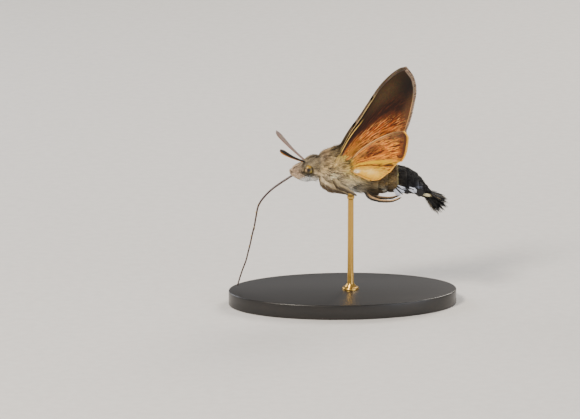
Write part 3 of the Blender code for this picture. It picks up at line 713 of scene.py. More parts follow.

root_lift = table_at(x, ROOT_LIFT) + 9 * ripple(roots, 0.6, 5) + dice.normal(size=len(roots)) * 5 + 6 * guard
root_lift += 5 * palp_share * ripple(roots, 0.25, 11)
root_lift[ring_line] = 6
root_lift += 24 * shaggy + 20 * crown
locks = ripple(roots * (0.5, 1, 1), 0.5, 6) + 0.5 * ripple(roots * (0.6, 1, 1), 1.2, 12)
brightness = 1 + 0.9 * table_at(x, LOCK_LIGHT) * locks + dice.normal(size=len(roots)) * 0.26
tints = np.clip(body_tints(roots) * np.clip(brightness, 0.2, 2)[:, None], 0, 0.95)
print("mean lift in degrees:", root_lift.mean().round(1))

# %% [markdown]
# ## Pieces of the coat
#
# The coat of a real moth is all one. As one mesh it would be too heavy to handle, so it is grown in five
# pieces that meet where the body has its own joints, or down the middle of the back. Black scales cover the
# rear, fur the rest.

# %% Pieces of the coat
ZONES = (  # piece, slot in the record, material, from X, to X, side or 0 for both
    ("coat_head", "body_hair", body_hair, -12, HEAD_END, 0),
    ("coat_thorax_left", "body_hair", body_hair, HEAD_END, 4.5, -1),
    ("coat_thorax_right", "body_hair", body_hair, HEAD_END, 4.5, 1),
    ("coat_abdomen_front", "body_hair", body_hair, 4.5, 10.85, 0),
    ("coat_abdomen_rear", "abdomen_hair", black_scales, 10.85, 19, 0),
)
TIP_LIFT = 0.12  # of the lift at the root
around = np.arctan2(z - outline_at(x)[0], y) / math.pi
for name, slot, material, low, high, side in ZONES:
    here = (x >= low) & (x < high) & ((side == 0) | ((y < 0) == (side < 0)))
    spots = np.column_stack([0.05 + 0.9 * (x - low) / (high - low), 0.5 + 0.45 * around])
    blades = [rows[here] for rows in (roots, normals, lies, lengths, widths)]
    lift = (root_lift[here], root_lift[here] * TIP_LIFT)
    place_on_body(grow(name, *blades, lift, tints[here], spots[here]), material, slot)
SKIN_NODES = ("head", "thorax", "abdomen_front", "abdomen_rear", "palp_left", "palp_right")
place_on_body(skin, downy_skin, "body_hair", *SKIN_NODES)

# %% [markdown]
# ## Side tufts
#
# Behind the middle of the abdomen, bunches of long flat scales leave its sides: white ones over black ones.
# A few big locks would look like leaves, so each bunch has ninety scales, grown from a small area of the skin
# and spread like fingers.

# %% Side tufts
SIDE_TUFTS = (  # X, height, degrees down, half spread in degrees, length, share of pale scales, their colour
    (10, -0.35, 37, 24, 2.8, 0.84, "dfe6f6"),
    (11.75, -0.38, 34, 18, 2.2, 0.08, "dfe5f2"),
    (12.6, -0.32, 20, 12, 2.4, 0.5, "dfe5f2"),
    (13.2, -0.68, 20, 7, 1.7, 1, "e2dfc4"),
    (14.1, -0.34, 20, 18, 2.4, 0.04, "dfe5f2"),
    (14.6, -0.7, 6, 3.5, 3.7, 1, "e6dcb0"),
)
TUFT_SCALES = 90


def body_point(x, height, side):
    """(place, outward direction) on the skin at this X and height from -1 to 1."""
    middle, tilt, high, wide = outline_at(x)
    inset = table_at(x, COAT_DEPTH)
    level = side * math.sqrt(1 - height * height)
    place = np.array((x, (wide - inset) * level, middle + (high - inset) * height))
    return place, unit(np.array((0, level / wide, height / high)))


for word, side in SIDES.items():
    scales = []
    for x, height, down, spread, length, pale_share, tone in SIDE_TUFTS:
        place, outward = body_point(x, height, side)
        tilt = math.radians(outline_at(x)[1] * 0.6 + down)
        heading = np.array((math.cos(tilt), 0, -math.sin(tilt)))
        across = np.cross(heading, outward)
        for k in range(TUFT_SCALES):
            share = 2 * (k + dice.uniform()) / TUFT_SCALES - 1
            layer = outward * dice.uniform(-1, 1)
            turn = math.radians(spread * share)
            lie = heading * math.cos(turn) + across * math.sin(turn) + layer * 0.16
            reach = length * dice.uniform(0.72, 1.05) * (1 - 0.16 * share * share)
            root = place + across * (0.02 * spread * share) + layer * 0.1
            scales.append((root, outward, lie, reach, share, pale_share, linear(tone)))
    *blades, share, pale_shares, tones = as_arrays(scales)
    pale = dice.random(len(share)) < pale_shares
    shades = np.where(pale[:, None], tones, linear("050506")) * dice.uniform(0.75, 1, len(share))[:, None]
    spots = np.column_stack([0.1 + 0.8 * (blades[0][:, 0] - 9.5) / 6, 0.5 + 0.3 * share])
    blades += [dice.uniform(0.2, 0.32, len(share)), (dice.uniform(16, 34, len(share)), 2), shades, spots]
    tuft = grow(f"side_tufts_{word}", *blades, profile=SCALE, flat=0.12, sink=0.35)
    place_on_body(tuft, white_scales, "abdomen_hair")

# %% [markdown]
# ## Tail fan
#
# The abdomen ends in a fan of long black scales, which the moth spreads as it hovers. One flat sheet would
# have no depth at its edge, so the scales lie in six layers, the upper ones tilted up and the lower ones down.

# %% Tail fan
TAIL_ROOT = np.array((16.9, 0, 22.45))
TAIL_TILT = math.radians(35)
TAIL_LAYERS = (  # height of the roots, pitch in degrees, spread in degrees, length, scales
    (-0.66, -19, 36, 3.9, 110),
    (-0.4, -13, 40, 4.2, 130),
    (-0.13, -5, 43, 4.3, 140),
    (0.13, 3, 42, 4.2, 140),
    (0.4, 10, 38, 4, 120),
    (0.66, 16, 30, 3.6, 90),
)
# Black scales, a few grey-blue ones that are painted sheen, and a few pale ones.
TAIL_COLOURS, TAIL_SHARES = ("030303", "2c2e36", "8a7c60"), (0.9, 0.08, 0.02)
PADDLE = ((0, 0.4), (0.3, 0.8), (0.72, 1), (0.93, 0.75), (1, 0))

tail_along = np.array((math.cos(TAIL_TILT), 0, -math.sin(TAIL_TILT)))
tail_up = np.array((math.sin(TAIL_TILT), 0, math.cos(TAIL_TILT)))
scales = []
for level, pitch, spread, length, count in TAIL_LAYERS:
    lean = math.radians(pitch)
    heading = tail_along * math.cos(lean) + tail_up * math.sin(lean)
    facing = tail_up * math.cos(lean) - tail_along * math.sin(lean)
    for k in range(count):
        share = 2 * (k + dice.uniform()) / count - 1
        turn = math.radians(spread * share)
        root = TAIL_ROOT + tail_up * (level + dice.normal() * 0.1) + (0, 1.1 * share, 0)
        root += tail_along * dice.uniform(-0.2, 1)
        lie = heading * math.cos(turn) + (0, math.sin(turn), 0) + facing * dice.normal() * 0.09
        reach = length * dice.uniform(0.72, 1.03) * (1 - 0.22 * share * share)
        scales.append((root, facing, lie, reach, share, level))
*blades, share, level = as_arrays(scales)
pick = dice.choice(len(TAIL_SHARES), len(share), p=TAIL_SHARES)
pick[(level < -0.5) & (dice.random(len(share)) < 0.25)] = 2  # the lowest layer has more pale scales
shades = np.array([linear(colour) for colour in TAIL_COLOURS])[pick]
spots = 0.5 + np.column_stack([0.4 * share, 0.5 * level])
widths = dice.uniform(0.26, 0.42, len(share))
fan = grow("tail_fan_scales", *blades, widths, (2, -4), shades, spots, profile=PADDLE, flat=0.1, sink=0)
place_on_body(fan, black_scales, "tail_scales", "tail_fan")

# %% [markdown]
# ## Eyes
#
# A compound eye is a smooth dome of thousands of lenses under a clear coat. This one is olive gold, with a
# dark spot where the lenses look straight at the onlooker, a dark lower rim and a painted pink-cream highlight
# at its front. The lenses could be modelled one by one, but they are far smaller than a pixel, so a sphere
# carries them as a fine cell pattern.

# %% Eyes
EYE_PATCHES = (  # direction from the eye's middle, reach, colour, strength
    ((-0.05, 0.75, 0.85), 0.46, "a8821c", 0.95),
    # a painted pink-cream highlight at the front of the eye
    ((-0.7, 1, 0.1), 0.24, "c09a70", 0.85),
    ((0.45, 1, -0.1), 0.34, "96802a", 0.9),
    ((0, 0.8, -1), 0.5, "120a05", 0.95),
    ((1.1, 0.7, 0.2), 0.4, "2a1c0a", 0.9),
    ((-0.02, 1, 0.1), 0.4, "2c170a", 0.95),
    ((-0.04, 1, 0.15), 0.33, "040201", 1),
)
# Clear horn over dark pigment: a soft, broken highlight. The lenses are 0.03 mm wide and drawn 0.07 mm wide.
eye_horn = new_material("faceted_eye_horn")
tint = add_node(eye_horn, "Attribute", attribute_name="tint")
place = add_node(eye_horn, "TexCoord")
lenses = add_node(eye_horn, "TexVoronoi", {"Vector": place.outputs["Object"], "Scale": 14 / MM})
finish(eye_horn, tint, 0.4, {"Coat Weight": 0.12, "Coat Roughness": 0.18}, lenses, 0.35, 0.02, invert=True)

for word, side in SIDES.items():
    select_only()
    bpy.ops.mesh.primitive_uv_sphere_add(segments=72, ring_count=48, radius=MM)
    eye = bpy.context.object
    eye.name = eye.data.name = f"compound_eye_{word}"
    outward = read(eye.data.vertices, "co") / MM * (1, side, 1)
    bpy.ops.object.mode_set(mode="EDIT")
    bpy.ops.transform.resize(value=EYE_RADII)
    bpy.ops.transform.translate(value=Vector(EYE_CENTRE) * Vector((1, side, 1)) * MM)
    bpy.ops.object.mode_set(mode="OBJECT")
    bpy.ops.object.shade_smooth()
    tints = linear("4a3c12") * (1 + 0.15 * ripple(outward, 0.2, 8))[:, None]
    for direction, reach, colour, strength in EYE_PATCHES:
        away = np.linalg.norm(outward - unit(np.array(direction)), axis=1)
        tints = lay_over(tints, linear(colour), np.clip(1.35 - away / reach, 0, 1) ** 0.7 * strength)
    tint_mesh(eye.data, tints)
    place_on_body(eye, eye_horn, "eye", f"eye_{word}")

# %% [markdown]
# ## Antennae
#
# The antennae are clubbed: thin at the root, thick near the end, with a small hooked tip. They are made of
# many short rings, each a little wider at its far edge. A ring pattern on a smooth tube would leave their
# outline smooth, so the rings are lofted. Scales make them black above and pale orange below.

# %% Antennae
ANTENNA_ROOT = (-7.8, 0.9, 29.7)
ANTENNA_REACH = (-5.2, 7.45, 4.14)
ANTENNA_SAG = 0.25
ANTENNA_RADII = ((0, 0.2), (0.25, 0.23), (0.45, 0.28), (0.7, 0.38), (0.86, 0.44), (0.95, 0.34), (1, 0.09))
ANTENNA_STEPS = 112  # two to each ring of the antenna
RING_FLARE = 0.1

# Horn under tiny scales: satin, with a fine mosaic. The scales are 0.05 mm wide and drawn 0.1 mm wide.
scaled_horn = new_material("scaled_horn")
tint = add_node(scaled_horn, "Attribute", attribute_name="tint")
place = add_node(scaled_horn, "TexCoord")
rows = add_node(scaled_horn, "TexVoronoi", {"Vector": place.outputs["Object"], "Scale": 10 / MM})
mosaic = {"Factor": 0.3, 6: tint, 7: rows.outputs["Color"]}
mosaic = add_node(scaled_horn, "Mix", mosaic, data_type="RGBA", blend_type="SOFT_LIGHT")
finish(scaled_horn, mosaic.outputs[2], 0.5, {}, rows, 0.4, 0.03, invert=True)


def antenna_place(step, side):
    share = step / ANTENNA_STEPS
    x, y, z = (root + reach * share for root, reach in zip(ANTENNA_ROOT, ANTENNA_REACH))
    hook = 0.5 * max(share - 0.95, 0) / 0.05
    radius = float(table_at(share, ANTENNA_RADII)) * (1 + (RING_FLARE if step % 2 else -RING_FLARE))
    return x + 0.12 * hook, side * y, z - ANTENNA_SAG * math.sin(math.pi * share) + 0.25 * hook, radius


for word, side in SIDES.items():
    places = [antenna_place(step, side) for step in range(ANTENNA_STEPS + 1)]
    antenna = loft(f"ringed_antenna_{word}", path_rings(places), 14)
    x, y, z = read(antenna.data.vertices, "normal").T
    upper = lay_over(linear("0b0908"), linear("7c6a62"), np.clip(-1.5 * side * y + 0.6 * z + 0.2, 0, 1))
    beyond_root = read(antenna.data.vertices, "co")[:, 0] < -8.2 * MM
    below = np.clip(-2.2 * z - 0.5 * x - 1, 0, 1) * beyond_root
    tint_mesh(antenna.data, lay_over(upper, linear("dc8f3c"), below))
    place_on_body(antenna, scaled_horn, "antenna", f"antenna_{word}")

# %% [markdown]
# ## Tongue
#
# The tongue is two half tubes that lie side by side along their whole length, with a fine seam between them.
# It bends at a knee under the head. One tube with a drawn seam would look like wire, so both halves are
# lofted, and each sinks a little into the other.

# %% Tongue
TONGUE_LINE = (  # X, Z
    (-9.6, 27.02), (-9.95, 26.78), (-12.2, 25.32), (-14.28, 23.82), (-15.75, 22.35), (-16.6, 21.2),
    (-17.1, 20.05), (-17.42, 18.4), (-17.76, 16.45), (-18.2, 14.6), (-18.6, 12.7), (-19.05, 10.9),
    (-19.5, 9.1), (-20.28, 7), (-21.2, 4.05),
)
TONGUE_RADII = (0.19, 0.13)
TONGUE_STEPS = 70

# Brown horn with a soft shine. Its rings are 0.13 mm apart: a wave's bands lie 0.314 / scale apart.
horn = new_material("satin_tongue_horn")
place = add_node(horn, "TexCoord")
bands = {"Vector": place.outputs["Object"], "Scale": 2.5 / MM, "Distortion": 1.5}
bands = add_node(horn, "TexWave", bands, bands_direction="Z").outputs["Fac"]
browns = add_node(horn, "ValToRGB", {"Fac": bands}, stops=((0.1, "1c0f0b"), (0.9, "4a2a20")))
finish(horn, browns, 0.3, {"Coat Weight": 0.3}, bands, 0.2, 0.02)

halves = []
for side in SIDES.values():
    places = []
    for k in range(TONGUE_STEPS + 1):
        x, z = spline_point(TONGUE_LINE, k / TONGUE_STEPS)
        radius = TONGUE_RADII[0] + (TONGUE_RADII[1] - TONGUE_RADII[0]) * k / TONGUE_STEPS
        places.append((x, side * radius * 0.8, z, radius))
    halves.append(loft("half_tongue", path_rings(places), 12))
place_on_body(join("two_part_tongue", halves), horn, "proboscis", "proboscis_upper", "proboscis_lower")

# %% [markdown]
# ## Pollen
#
# Grains of pollen stick to the tongue where it goes in and out of flowers. Plain spheres would look like
# beads, so each grain is an icosphere whose points a small ripple pushes in and out.

# %% Pollen
POLLEN = (0.37, 0.39, 0.415, 0.43, 0.47, 0.5, 0.545, 0.58, 0.6, 0.655, 0.68, 0.7, 0.735)  # along the tongue

# Waxy pollen: matt and warm, with warts 0.05 mm apart that break up its light.
pollen_grain = new_material("waxy_pollen")
place = add_node(pollen_grain, "TexCoord")
warts = add_node(pollen_grain, "TexNoise", {"Vector": place.outputs["Object"], "Scale": 20 / MM, "Detail": 2})
creams = add_node(pollen_grain, "ValToRGB", {"Fac": warts}, stops=((0.3, "c8a862"), (0.7, "ead9a6")))
finish(pollen_grain, creams, 0.6, {}, warts, 0.4, 0.02)

grains = []
for k, share in enumerate(POLLEN):
    select_only()
    x, z = spline_point(TONGUE_LINE, share)
    spot = Vector((x + 0.16 * math.cos(2.4 * k), 0.18 * math.sin(2.4 * k), z)) * MM
    bpy.ops.mesh.primitive_ico_sphere_add(subdivisions=3, radius=dice.uniform(0.09, 0.16) * MM, location=spot)
    grains.append(bpy.context.object)
pollen = join("pollen_grains", grains)
select_only(pollen)
bpy.ops.object.transform_apply(location=True, rotation=True, scale=True)
lumps = read(pollen.data.vertices, "co") / MM
lumps += read(pollen.data.vertices, "normal") * (0.03 * ripple(lumps, 0.08, 9))[:, None]
pollen.data.vertices.foreach_set("co", (lumps * MM).ravel())
bpy.ops.object.shade_smooth()
place_on_body(pollen, pollen_grain, "proboscis")

# %% [markdown]
# ## Outlines of the wings
#
# A wing is a thin sheet between its leading edge, its outer margin and its trailing edge, stiffened by veins.
# Any place on it is a share of the way along and a share across, and one function turns these into a point in
# space. So the sheet, the veins, the fringe and the markings are all given in the same two numbers.

# %% Outlines of the wings
FOREWING = {  # edges in X and Z, and veins in shares (along, across)
    "lead": (
        (-1.2, 30.95), (1.07, 35.2), (3.31, 38.43), (5.33, 41.6), (7.33, 44.5), (9.33, 46.6), (11.2, 47.95),
        (12.4, 48.3),
    ),
    "margin": ((12.4, 48.3), (13.9, 46.3), (14.3, 43.7), (13.8, 40.6), (13.05, 37.6), (12.25, 35.6)),
    "trail": ((0.35, 30.2), (2.7, 31.65), (5.9, 32.9), (9.3, 34.3), (12.25, 35.6)),
    "veins": (
        ((0, 0.05), (0.3, 0.045), (0.62, 0.012)),
        ((0, 0.12), (0.25, 0.13), (0.46, 0.15)),
        ((0.28, 0.13), (0.55, 0.08), (0.8, 0.015)),
        ((0.42, 0.145), (0.7, 0.1), (0.93, 0.03)),
        ((0.46, 0.15), (0.75, 0.13), (0.985, 0.08)),
        ((0.46, 0.16), (0.75, 0.18), (0.99, 0.2)),
        ((0.47, 0.3), (0.75, 0.33), (0.99, 0.35)),
        ((0.46, 0.42), (0.75, 0.46), (0.99, 0.49)),
        ((0.44, 0.47), (0.72, 0.57), (0.99, 0.63)),
        ((0.3, 0.42), (0.62, 0.64), (0.99, 0.78)),
        ((0, 0.25), (0.22, 0.36), (0.44, 0.47)),
        ((0.46, 0.15), (0.47, 0.3), (0.44, 0.47)),
        ((0, 0.45), (0.45, 0.78), (0.985, 0.93)),
    ),
    "lap": 0,  # how far it stands out over the other wing
    "reach": 0.978,  # the share of the outline that the sheet fills, because a fringe does the rest
    "pleat": 0,  # how deep its fold cuts into the margin
}
HINDWING = {
    "lead": ((1.1, 29.65), (2.4, 31.9), (4.24, 33.35), (6.27, 34.5), (8.29, 35.4), (10.3, 36), (12, 36.1)),
    "margin": (
        (12, 36.1), (12.85, 34.9), (12.7, 33.1), (12.22, 31.5), (11.5, 30.3), (9.97, 28.75), (8.4, 27.75),
        (6.9, 26.75), (5.3, 26.55),
    ),
    "trail": ((1.4, 28.2), (2.3, 27.95), (3.35, 27.5), (4.4, 26.95), (5.3, 26.55)),
    "veins": (
        ((0, 0.06), (0.5, 0.05), (0.98, 0.03)),
        ((0, 0.14), (0.33, 0.17), (0.7, 0.16), (0.985, 0.13)),
        ((0.33, 0.17), (0.65, 0.27), (0.985, 0.27)),
        ((0.36, 0.3), (0.68, 0.38), (0.985, 0.4)),
        ((0.34, 0.4), (0.66, 0.5), (0.985, 0.54)),
        ((0.25, 0.44), (0.6, 0.6), (0.985, 0.68)),
        ((0, 0.3), (0.16, 0.38), (0.34, 0.42)),
        ((0.33, 0.17), (0.36, 0.3), (0.34, 0.42)),
        ((0, 0.6), (0.45, 0.76), (0.98, 0.8)),
        ((0, 0.85), (0.5, 0.9), (0.97, 0.92)),
    ),
    "lap": 1.15,
    "reach": 0.974,
    "pleat": 0.055,
}
WINGS = {"forewing": FOREWING, "hindwing": HINDWING}
HINGE_HEIGHT = 29.9
TOP_OFFSET = 1.1  # how far the raised wings stand from the mid-plane
TIP_FLARE, TIP_HEIGHT = 0.4, 18.4  # how much further at the tip, and its height over the hinge
FOOT_SPREAD, BEND_HEIGHT, BEND_LENGTH = 3.4, 2, 1.8  # the low part bends outwards round the body
BODY_GAP, BODY_BLEND = 0.7, 0.3  # how far the sheet keeps from the coat, and how softly
LAP_RADIUS, LAP_RISE = 3.2, (-1.5, 2)  # the hindwing's lap grows over this radius, between these heights
ROOT_TUCK, ROOT_SHARE = 1, 0.14  # how far the wing's root reaches in to the skin, and over what share
PLEAT = (0.5, 0.53, 0.58, 0.72)  # the shares across where the hindwing's fold steps in and is flat again


def smooth_step(value, start, end):
    value = float(slope(value, start, end))
    return value * value * (3 - 2 * value)


def wing_offset(wing, x, z):
    """How far the wing's sheet stands from the moth's mid-plane at this place."""
    height = z - HINGE_HEIGHT
    lean = TOP_OFFSET + TIP_FLARE * max(height / TIP_HEIGHT, 0) ** 2
    lean += FOOT_SPREAD / (1 + math.exp((height - BEND_HEIGHT) / BEND_LENGTH))
    radius = math.dist((x, z), wing["lead"][0])
    lean += wing["lap"] * smooth_step(radius, 0, LAP_RADIUS) * smooth_step(height, *LAP_RISE)
    middle, tilt, high, wide = outline_at(x)
    level = min(abs((z - middle) / high), 1)
    clear = wide * math.sqrt(1 - level * level) + BODY_GAP
    return 0.5 * (lean + clear + math.hypot(lean - clear, BODY_BLEND))


def wing_point(wing, side, along, across):
    """The place in mm at these shares along the wing from its root and across it from its leading edge."""
    folded = smooth_step(across, *PLEAT[:2]) * (1 - smooth_step(across, *PLEAT[2:]))
    along *= wing["reach"] - wing["pleat"] * folded
    front, back = spline_point(wing["lead"], along), spline_point(wing["trail"], along)
    outer, first, last = spline_point(wing["margin"], across), wing["margin"][0], wing["margin"][-1]
    x, z = (
        (1 - across) * (a - along * c) + across * (b - along * d) + along * e
        for a, b, c, d, e in zip(front, back, first, last, outer)
    )
    tuck = ROOT_TUCK * max(1 - along / ROOT_SHARE, 0) ** 1.5 - 2.5 * wing["pleat"] * folded * along
    return np.array((x, side * (wing_offset(wing, x, z) - tuck), z))


print("tips:", wing_point(FOREWING, -1, 1, 0).round(1), wing_point(HINDWING, -1, 1, 0).round(1))

# %% [markdown]
# ## Wing scales
#
# A moth's wing is covered with tiny overlapping scales like dust, matt, with the faintest sheen. Each face of
# each wing has its own markings. A painted picture would do, but these are drawn from one set of tools, which
# stay sharp at any size: colour zones that slant across the wing, wavy flecks drawn out along the veins, and
# soft patches, lines and bands at named places.

# %% Wing scales
FLECKS = (6.5, 38, 1)  # to a wing's length and to its width, so they are 3.5 mm long and 0.4 mm wide
FLECK_SKEW = 0.14  # the flecks rise a little towards the leading edge
WANDER = (18, 9, 1)  # to a wing's length and width, so the zones' edges wander over about 1.3 mm
GRAIN = 6  # of these to one WANDER: scales 0.1 mm wide are too fine to see, and are drawn 0.2 mm wide


def scaled_sheet(name, slant, waviness, zones, flecks, patches):
    """A wing face. Its zone rises from lead to trail, and is 0.5 where across is slant[0] + slant[1] * along.

    flecks are (colour, strength, noise where they begin, are full, zone where they begin, are full, seed).
    patches are (along, across, reach along, reach across, softness, waviness, colour, strength)."""
    sheet = new_material(name)
    place = add_node(sheet, "UVMap", uv_map="wing")
    wide = add_node(sheet, "Mapping", {"Vector": place, "Scale": WANDER})
    wander = add_node(sheet, "TexNoise", {"Vector": wide, "Scale": 0.9, "Detail": 4})
    shifts = {0: wander.outputs["Color"], 1: (0.5, 0.5, 0.5)}
    shifts = add_node(sheet, "VectorMath", shifts, operation="SUBTRACT")
    split = add_node(sheet, "SeparateXYZ", {0: place})
    from_line = add_node(sheet, "Math", {0: split, 1: -slant[1], 2: 0.5 - slant[0]}, operation="MULTIPLY_ADD")
    zone = add_node(sheet, "Math", {0: split.outputs["Y"], 1: from_line}, operation="ADD")
    loose = add_node(sheet, "SeparateXYZ", {0: shifts})
    zone = add_node(sheet, "Math", {0: loose, 1: waviness, 2: zone}, operation="MULTIPLY_ADD")
    colour = add_node(sheet, "ValToRGB", {"Fac": zone}, stops=zones)

    skewed = {0: split, 1: FLECK_SKEW, 2: split.outputs["Y"]}
    skewed = add_node(sheet, "Math", skewed, operation="MULTIPLY_ADD")
    joined = add_node(sheet, "CombineXYZ", {0: split, 1: skewed})
    drawn_out = add_node(sheet, "Mapping", {"Vector": joined, "Scale": FLECKS})
    for shade, strength, thin, full, start, end, seed in flecks:
        fleck = {"Vector": drawn_out, "W": seed, "Scale": 1, "Detail": 3, "Roughness": 0.6, "Distortion": 1.2}
        fleck = add_node(sheet, "TexNoise", fleck, noise_dimensions="4D")
        shown = {"Value": fleck, "From Min": thin, "From Max": full, "To Max": strength}
        held = {"Value": zone, "From Min": start, "From Max": end}
        held = add_node(sheet, "MapRange", held, interpolation_type="SMOOTHSTEP")
        amount = {0: add_node(sheet, "MapRange", shown), 1: held}
        amount = add_node(sheet, "Math", amount, operation="MULTIPLY")
        colour = add_node(sheet, "Mix", {"Factor": amount, 6: colour, 7: shade}, data_type="RGBA").outputs[2]

    for along, across, reach_along, reach_across, softness, waviness, shade, strength in patches:
        moved = {0: shifts, 1: (waviness,) * 3, 2: place}
        local = add_node(sheet, "Mapping", {
            "Vector": add_node(sheet, "VectorMath", moved, operation="MULTIPLY_ADD"),
            "Location": (-along / reach_along, -across / reach_across, 0),
            "Scale": (1 / reach_along, 1 / reach_across, 0),
        })
        away = add_node(sheet, "VectorMath", {0: local}, operation="LENGTH").outputs["Value"]
        near = {"Value": away, "From Min": 1, "From Max": 1 - softness, "To Max": strength}
        near = add_node(sheet, "MapRange", near, interpolation_type="SMOOTHSTEP")
        colour = add_node(sheet, "Mix", {"Factor": near, 6: colour, 7: shade}, data_type="RGBA").outputs[2]

    rows = add_node(sheet, "TexVoronoi", {"Vector": wide, "Scale": GRAIN})
    dusted = {"Factor": 0.25, 6: colour, 7: rows.outputs["Color"]}
    dusted = add_node(sheet, "Mix", dusted, data_type="RGBA", blend_type="SOFT_LIGHT")
    extras = {"Sheen Weight": 0.1, "Specular IOR Level": 0.2}
    finish(sheet, dusted.outputs[2], 0.75, extras, rows, 0.35, 0.03)
    return sheet


# All four faces are scales on a membrane: powdery and matt, with hardly a gleam.
FOREWING["under"] = scaled_sheet(
    "forewing_underside_scales", (0.28, 0.4), 0.1,
    (
        (0.02, "30200e"), (0.2, "2a1a0a"), (0.36, "220d04"), (0.46, "2a1206"), (0.54, "5c2c0e"),
        (0.63, "c05f14"), (0.82, "cf7626"), (0.98, "cc8638"),
    ),
    (
        ("200b03", 0.92, 0.43, 0.53, 0.5, 0.58, 0),
        ("ffa654", 0.85, 0.53, 0.59, 0.48, 0.6, 7.3),
        ("5a2a10", 0.4, 0.49, 0.58, 0.1, 0.42, 3.1),
    ),
    (
        (0.95, 0.28, 0.26, 0.4, 0.9, 0.05, "140d08", 0.9),
        (0.6, 0.16, 0.26, 0.2, 0.9, 0.05, "4c3820", 0.5),
        (0.52, 0.97, 0.42, 0.1, 0.6, 0.02, "d2985c", 0.85),
        (0.12, 0.72, 0.28, 0.42, 0.9, 0.06, "9c6412", 0.62),
        (0.97, 0.68, 0.2, 0.4, 0.9, 0.06, "583a22", 0.85),
        (1.02, 0.25, 0.06, 0.6, 0.5, 0.03, "8a7562", 0.95),
        (0.985, 0.72, 0.012, 0.34, 0.5, 0.01, "d8a46a", 0.7),
        (1.01, 0.6, 0.014, 0.45, 0.5, 0.01, "20150e", 0.9),
        (0.14, 0.055, 0.36, 0.05, 0.5, 0, "0c0704", 1),
        (0.12, 0.13, 0.24, 0.018, 0.6, 0, "e6b85c", 0.95),
        (0.14, 0.19, 0.28, 0.03, 0.5, 0, "120a05", 0.9),
        (0.2, 0, 0.4, 0.02, 0.5, 0, "f2cd84", 1),
        (0.8, 0, 0.34, 0.03, 0.5, 0, "2c1e12", 0.9),
    ),
)
FOREWING["over"] = scaled_sheet(
    "forewing_upperside_scales", (0, 0.1), 0.1,
    ((0.5, "5a4b3c"), (0.8, "6e5e49"), (1, "5f5040")),
    (("30271e", 0.45, 0.49, 0.58, 0.3, 0.5, 0), ("8a7a66", 0.35, 0.49, 0.58, 0.3, 0.5, 5)),
    (
        (0.22, 0.5, 0.028, 0.9, 0.4, 0.06, "0c0806", 0.95),
        (0.26, 0.5, 0.02, 0.9, 0.5, 0.06, "8d7f6c", 0.6),
        (0.47, 0.5, 0.026, 0.9, 0.4, 0.08, "0c0806", 0.95),
        (0.51, 0.5, 0.02, 0.9, 0.5, 0.08, "8d7f6c", 0.5),
        (0.36, 0.27, 0.022, 0.04, 0.4, 0, "0c0806", 1),
        (0.9, 0.15, 0.12, 0.2, 0.7, 0.04, "30271e", 0.7),
        (1.02, 0.5, 0.06, 0.9, 0.4, 0.03, "33291f", 0.8),
    ),
)
HINDWING["under"] = scaled_sheet(
    "hindwing_underside_scales", (0.5, 0), 0.05,
    (
        (0.02, "d09a5c"), (0.08, "c07a3c"), (0.3, "cc7020"), (0.44, "d27a28"), (0.5, "d4902c"),
        (0.56, "d9a02c"), (0.6, "c98a1c"), (0.66, "dca842"), (0.9, "dfb052"),
    ),
    (("341002", 0.92, 0.45, 0.54, 0.03, 0.08, 0), ("f89a34", 0.74, 0.53, 0.58, 0.03, 0.08, 7.3)),
    (
        (0.6, 0.82, 0.8, 0.22, 0.8, 0.02, "ecb434", 0.9),
        (0.45, 0.535, 0.66, 0.055, 0.7, 0.01, "dca800", 0.95),
        (0.45, 0.605, 0.62, 0.018, 0.6, 0.01, "5c2e0a", 0.85),
        (0.4, 0.645, 0.6, 0.022, 0.7, 0.01, "d89a18", 0.9),
        (0.43, 0.21, 0.24, 0.15, 0.9, 0.24, "2e0e03", 0.72),
        (0.36, 0.3, 0.14, 0.08, 0.9, 0.2, "3c1406", 0.8),
        (0.26, 0.22, 0.12, 0.14, 0.9, 0.06, "6b4a20", 0.6),
        (0.88, 0.07, 0.3, 0.16, 0.9, 0.06, "4e3826", 0.85),
        (0.96, 0.25, 0.13, 0.34, 0.8, 0.05, "5c3016", 0.9),
        (0, 0.3, 0.26, 0.42, 0.9, 0.05, "a67e1e", 0.92),
        (0.22, 0.86, 0.18, 0.14, 0.9, 0.08, "fff2dc", 0.85),
        (0.58, 0.79, 0.36, 0.1, 1, 0.14, "ffe090", 0.6),
        (0.42, 0.75, 0.18, 0.04, 1, 0.1, "c08e30", 0.6),
        (0.7, 0.98, 0.5, 0.04, 0.6, 0.01, "c88c14", 0.95),
        (0.5, 0.035, 0.46, 0.012, 0.5, 0.01, "4a260e", 0.6),
        (0.955, 0.22, 0.03, 0.29, 0.6, 0, "4a2a16", 0.85),
        (0.9, 0.585, 0.14, 0.03, 0.6, 0.01, "3a1c0a", 0.85),
        (1.015, 0.22, 0.03, 0.29, 0.3, 0, "ffc23c", 1),
        (1.015, 0.75, 0.03, 0.27, 0.3, 0, "e8a42c", 1),
    ),
)
HINDWING["over"] = scaled_sheet(
    "hindwing_upperside_scales", (0.5, 0), 0.1,
    ((0.1, "a87838"), (0.3, "cf5f12"), (0.7, "d46a14"), (1, "c88a34")),
    (("6a2a0a", 0.35, 0.49, 0.58, 0.05, 0.2, 0), ("f08c38", 0.3, 0.49, 0.58, 0.05, 0.2, 5)),
    (
        (0, 0.4, 0.24, 0.5, 0.9, 0.05, "c09a44", 0.8),
        (1, 0.35, 0.13, 0.6, 0.6, 0.05, "331a0c", 0.9),
        (0.5, 0, 0.6, 0.06, 0.6, 0, "a07c4c", 0.7),
    ),
)
print("nodes:", {name: len(wing["under"].node_tree.nodes) for name, wing in WINGS.items()})

# %% [markdown]
# ## Sheets and veins
#
# The membrane is far thinner than paper, and the veins that carry it are fine tubes on both faces. A grid is
# added, each of its points is moved to its share of the way, and Solidify makes it a closed sheet. The veins
# could be raised in the grid, but it would need to be much finer, so they are bevelled curves. Both keep the
# shares in a UV map of their own, in which the markings are drawn.

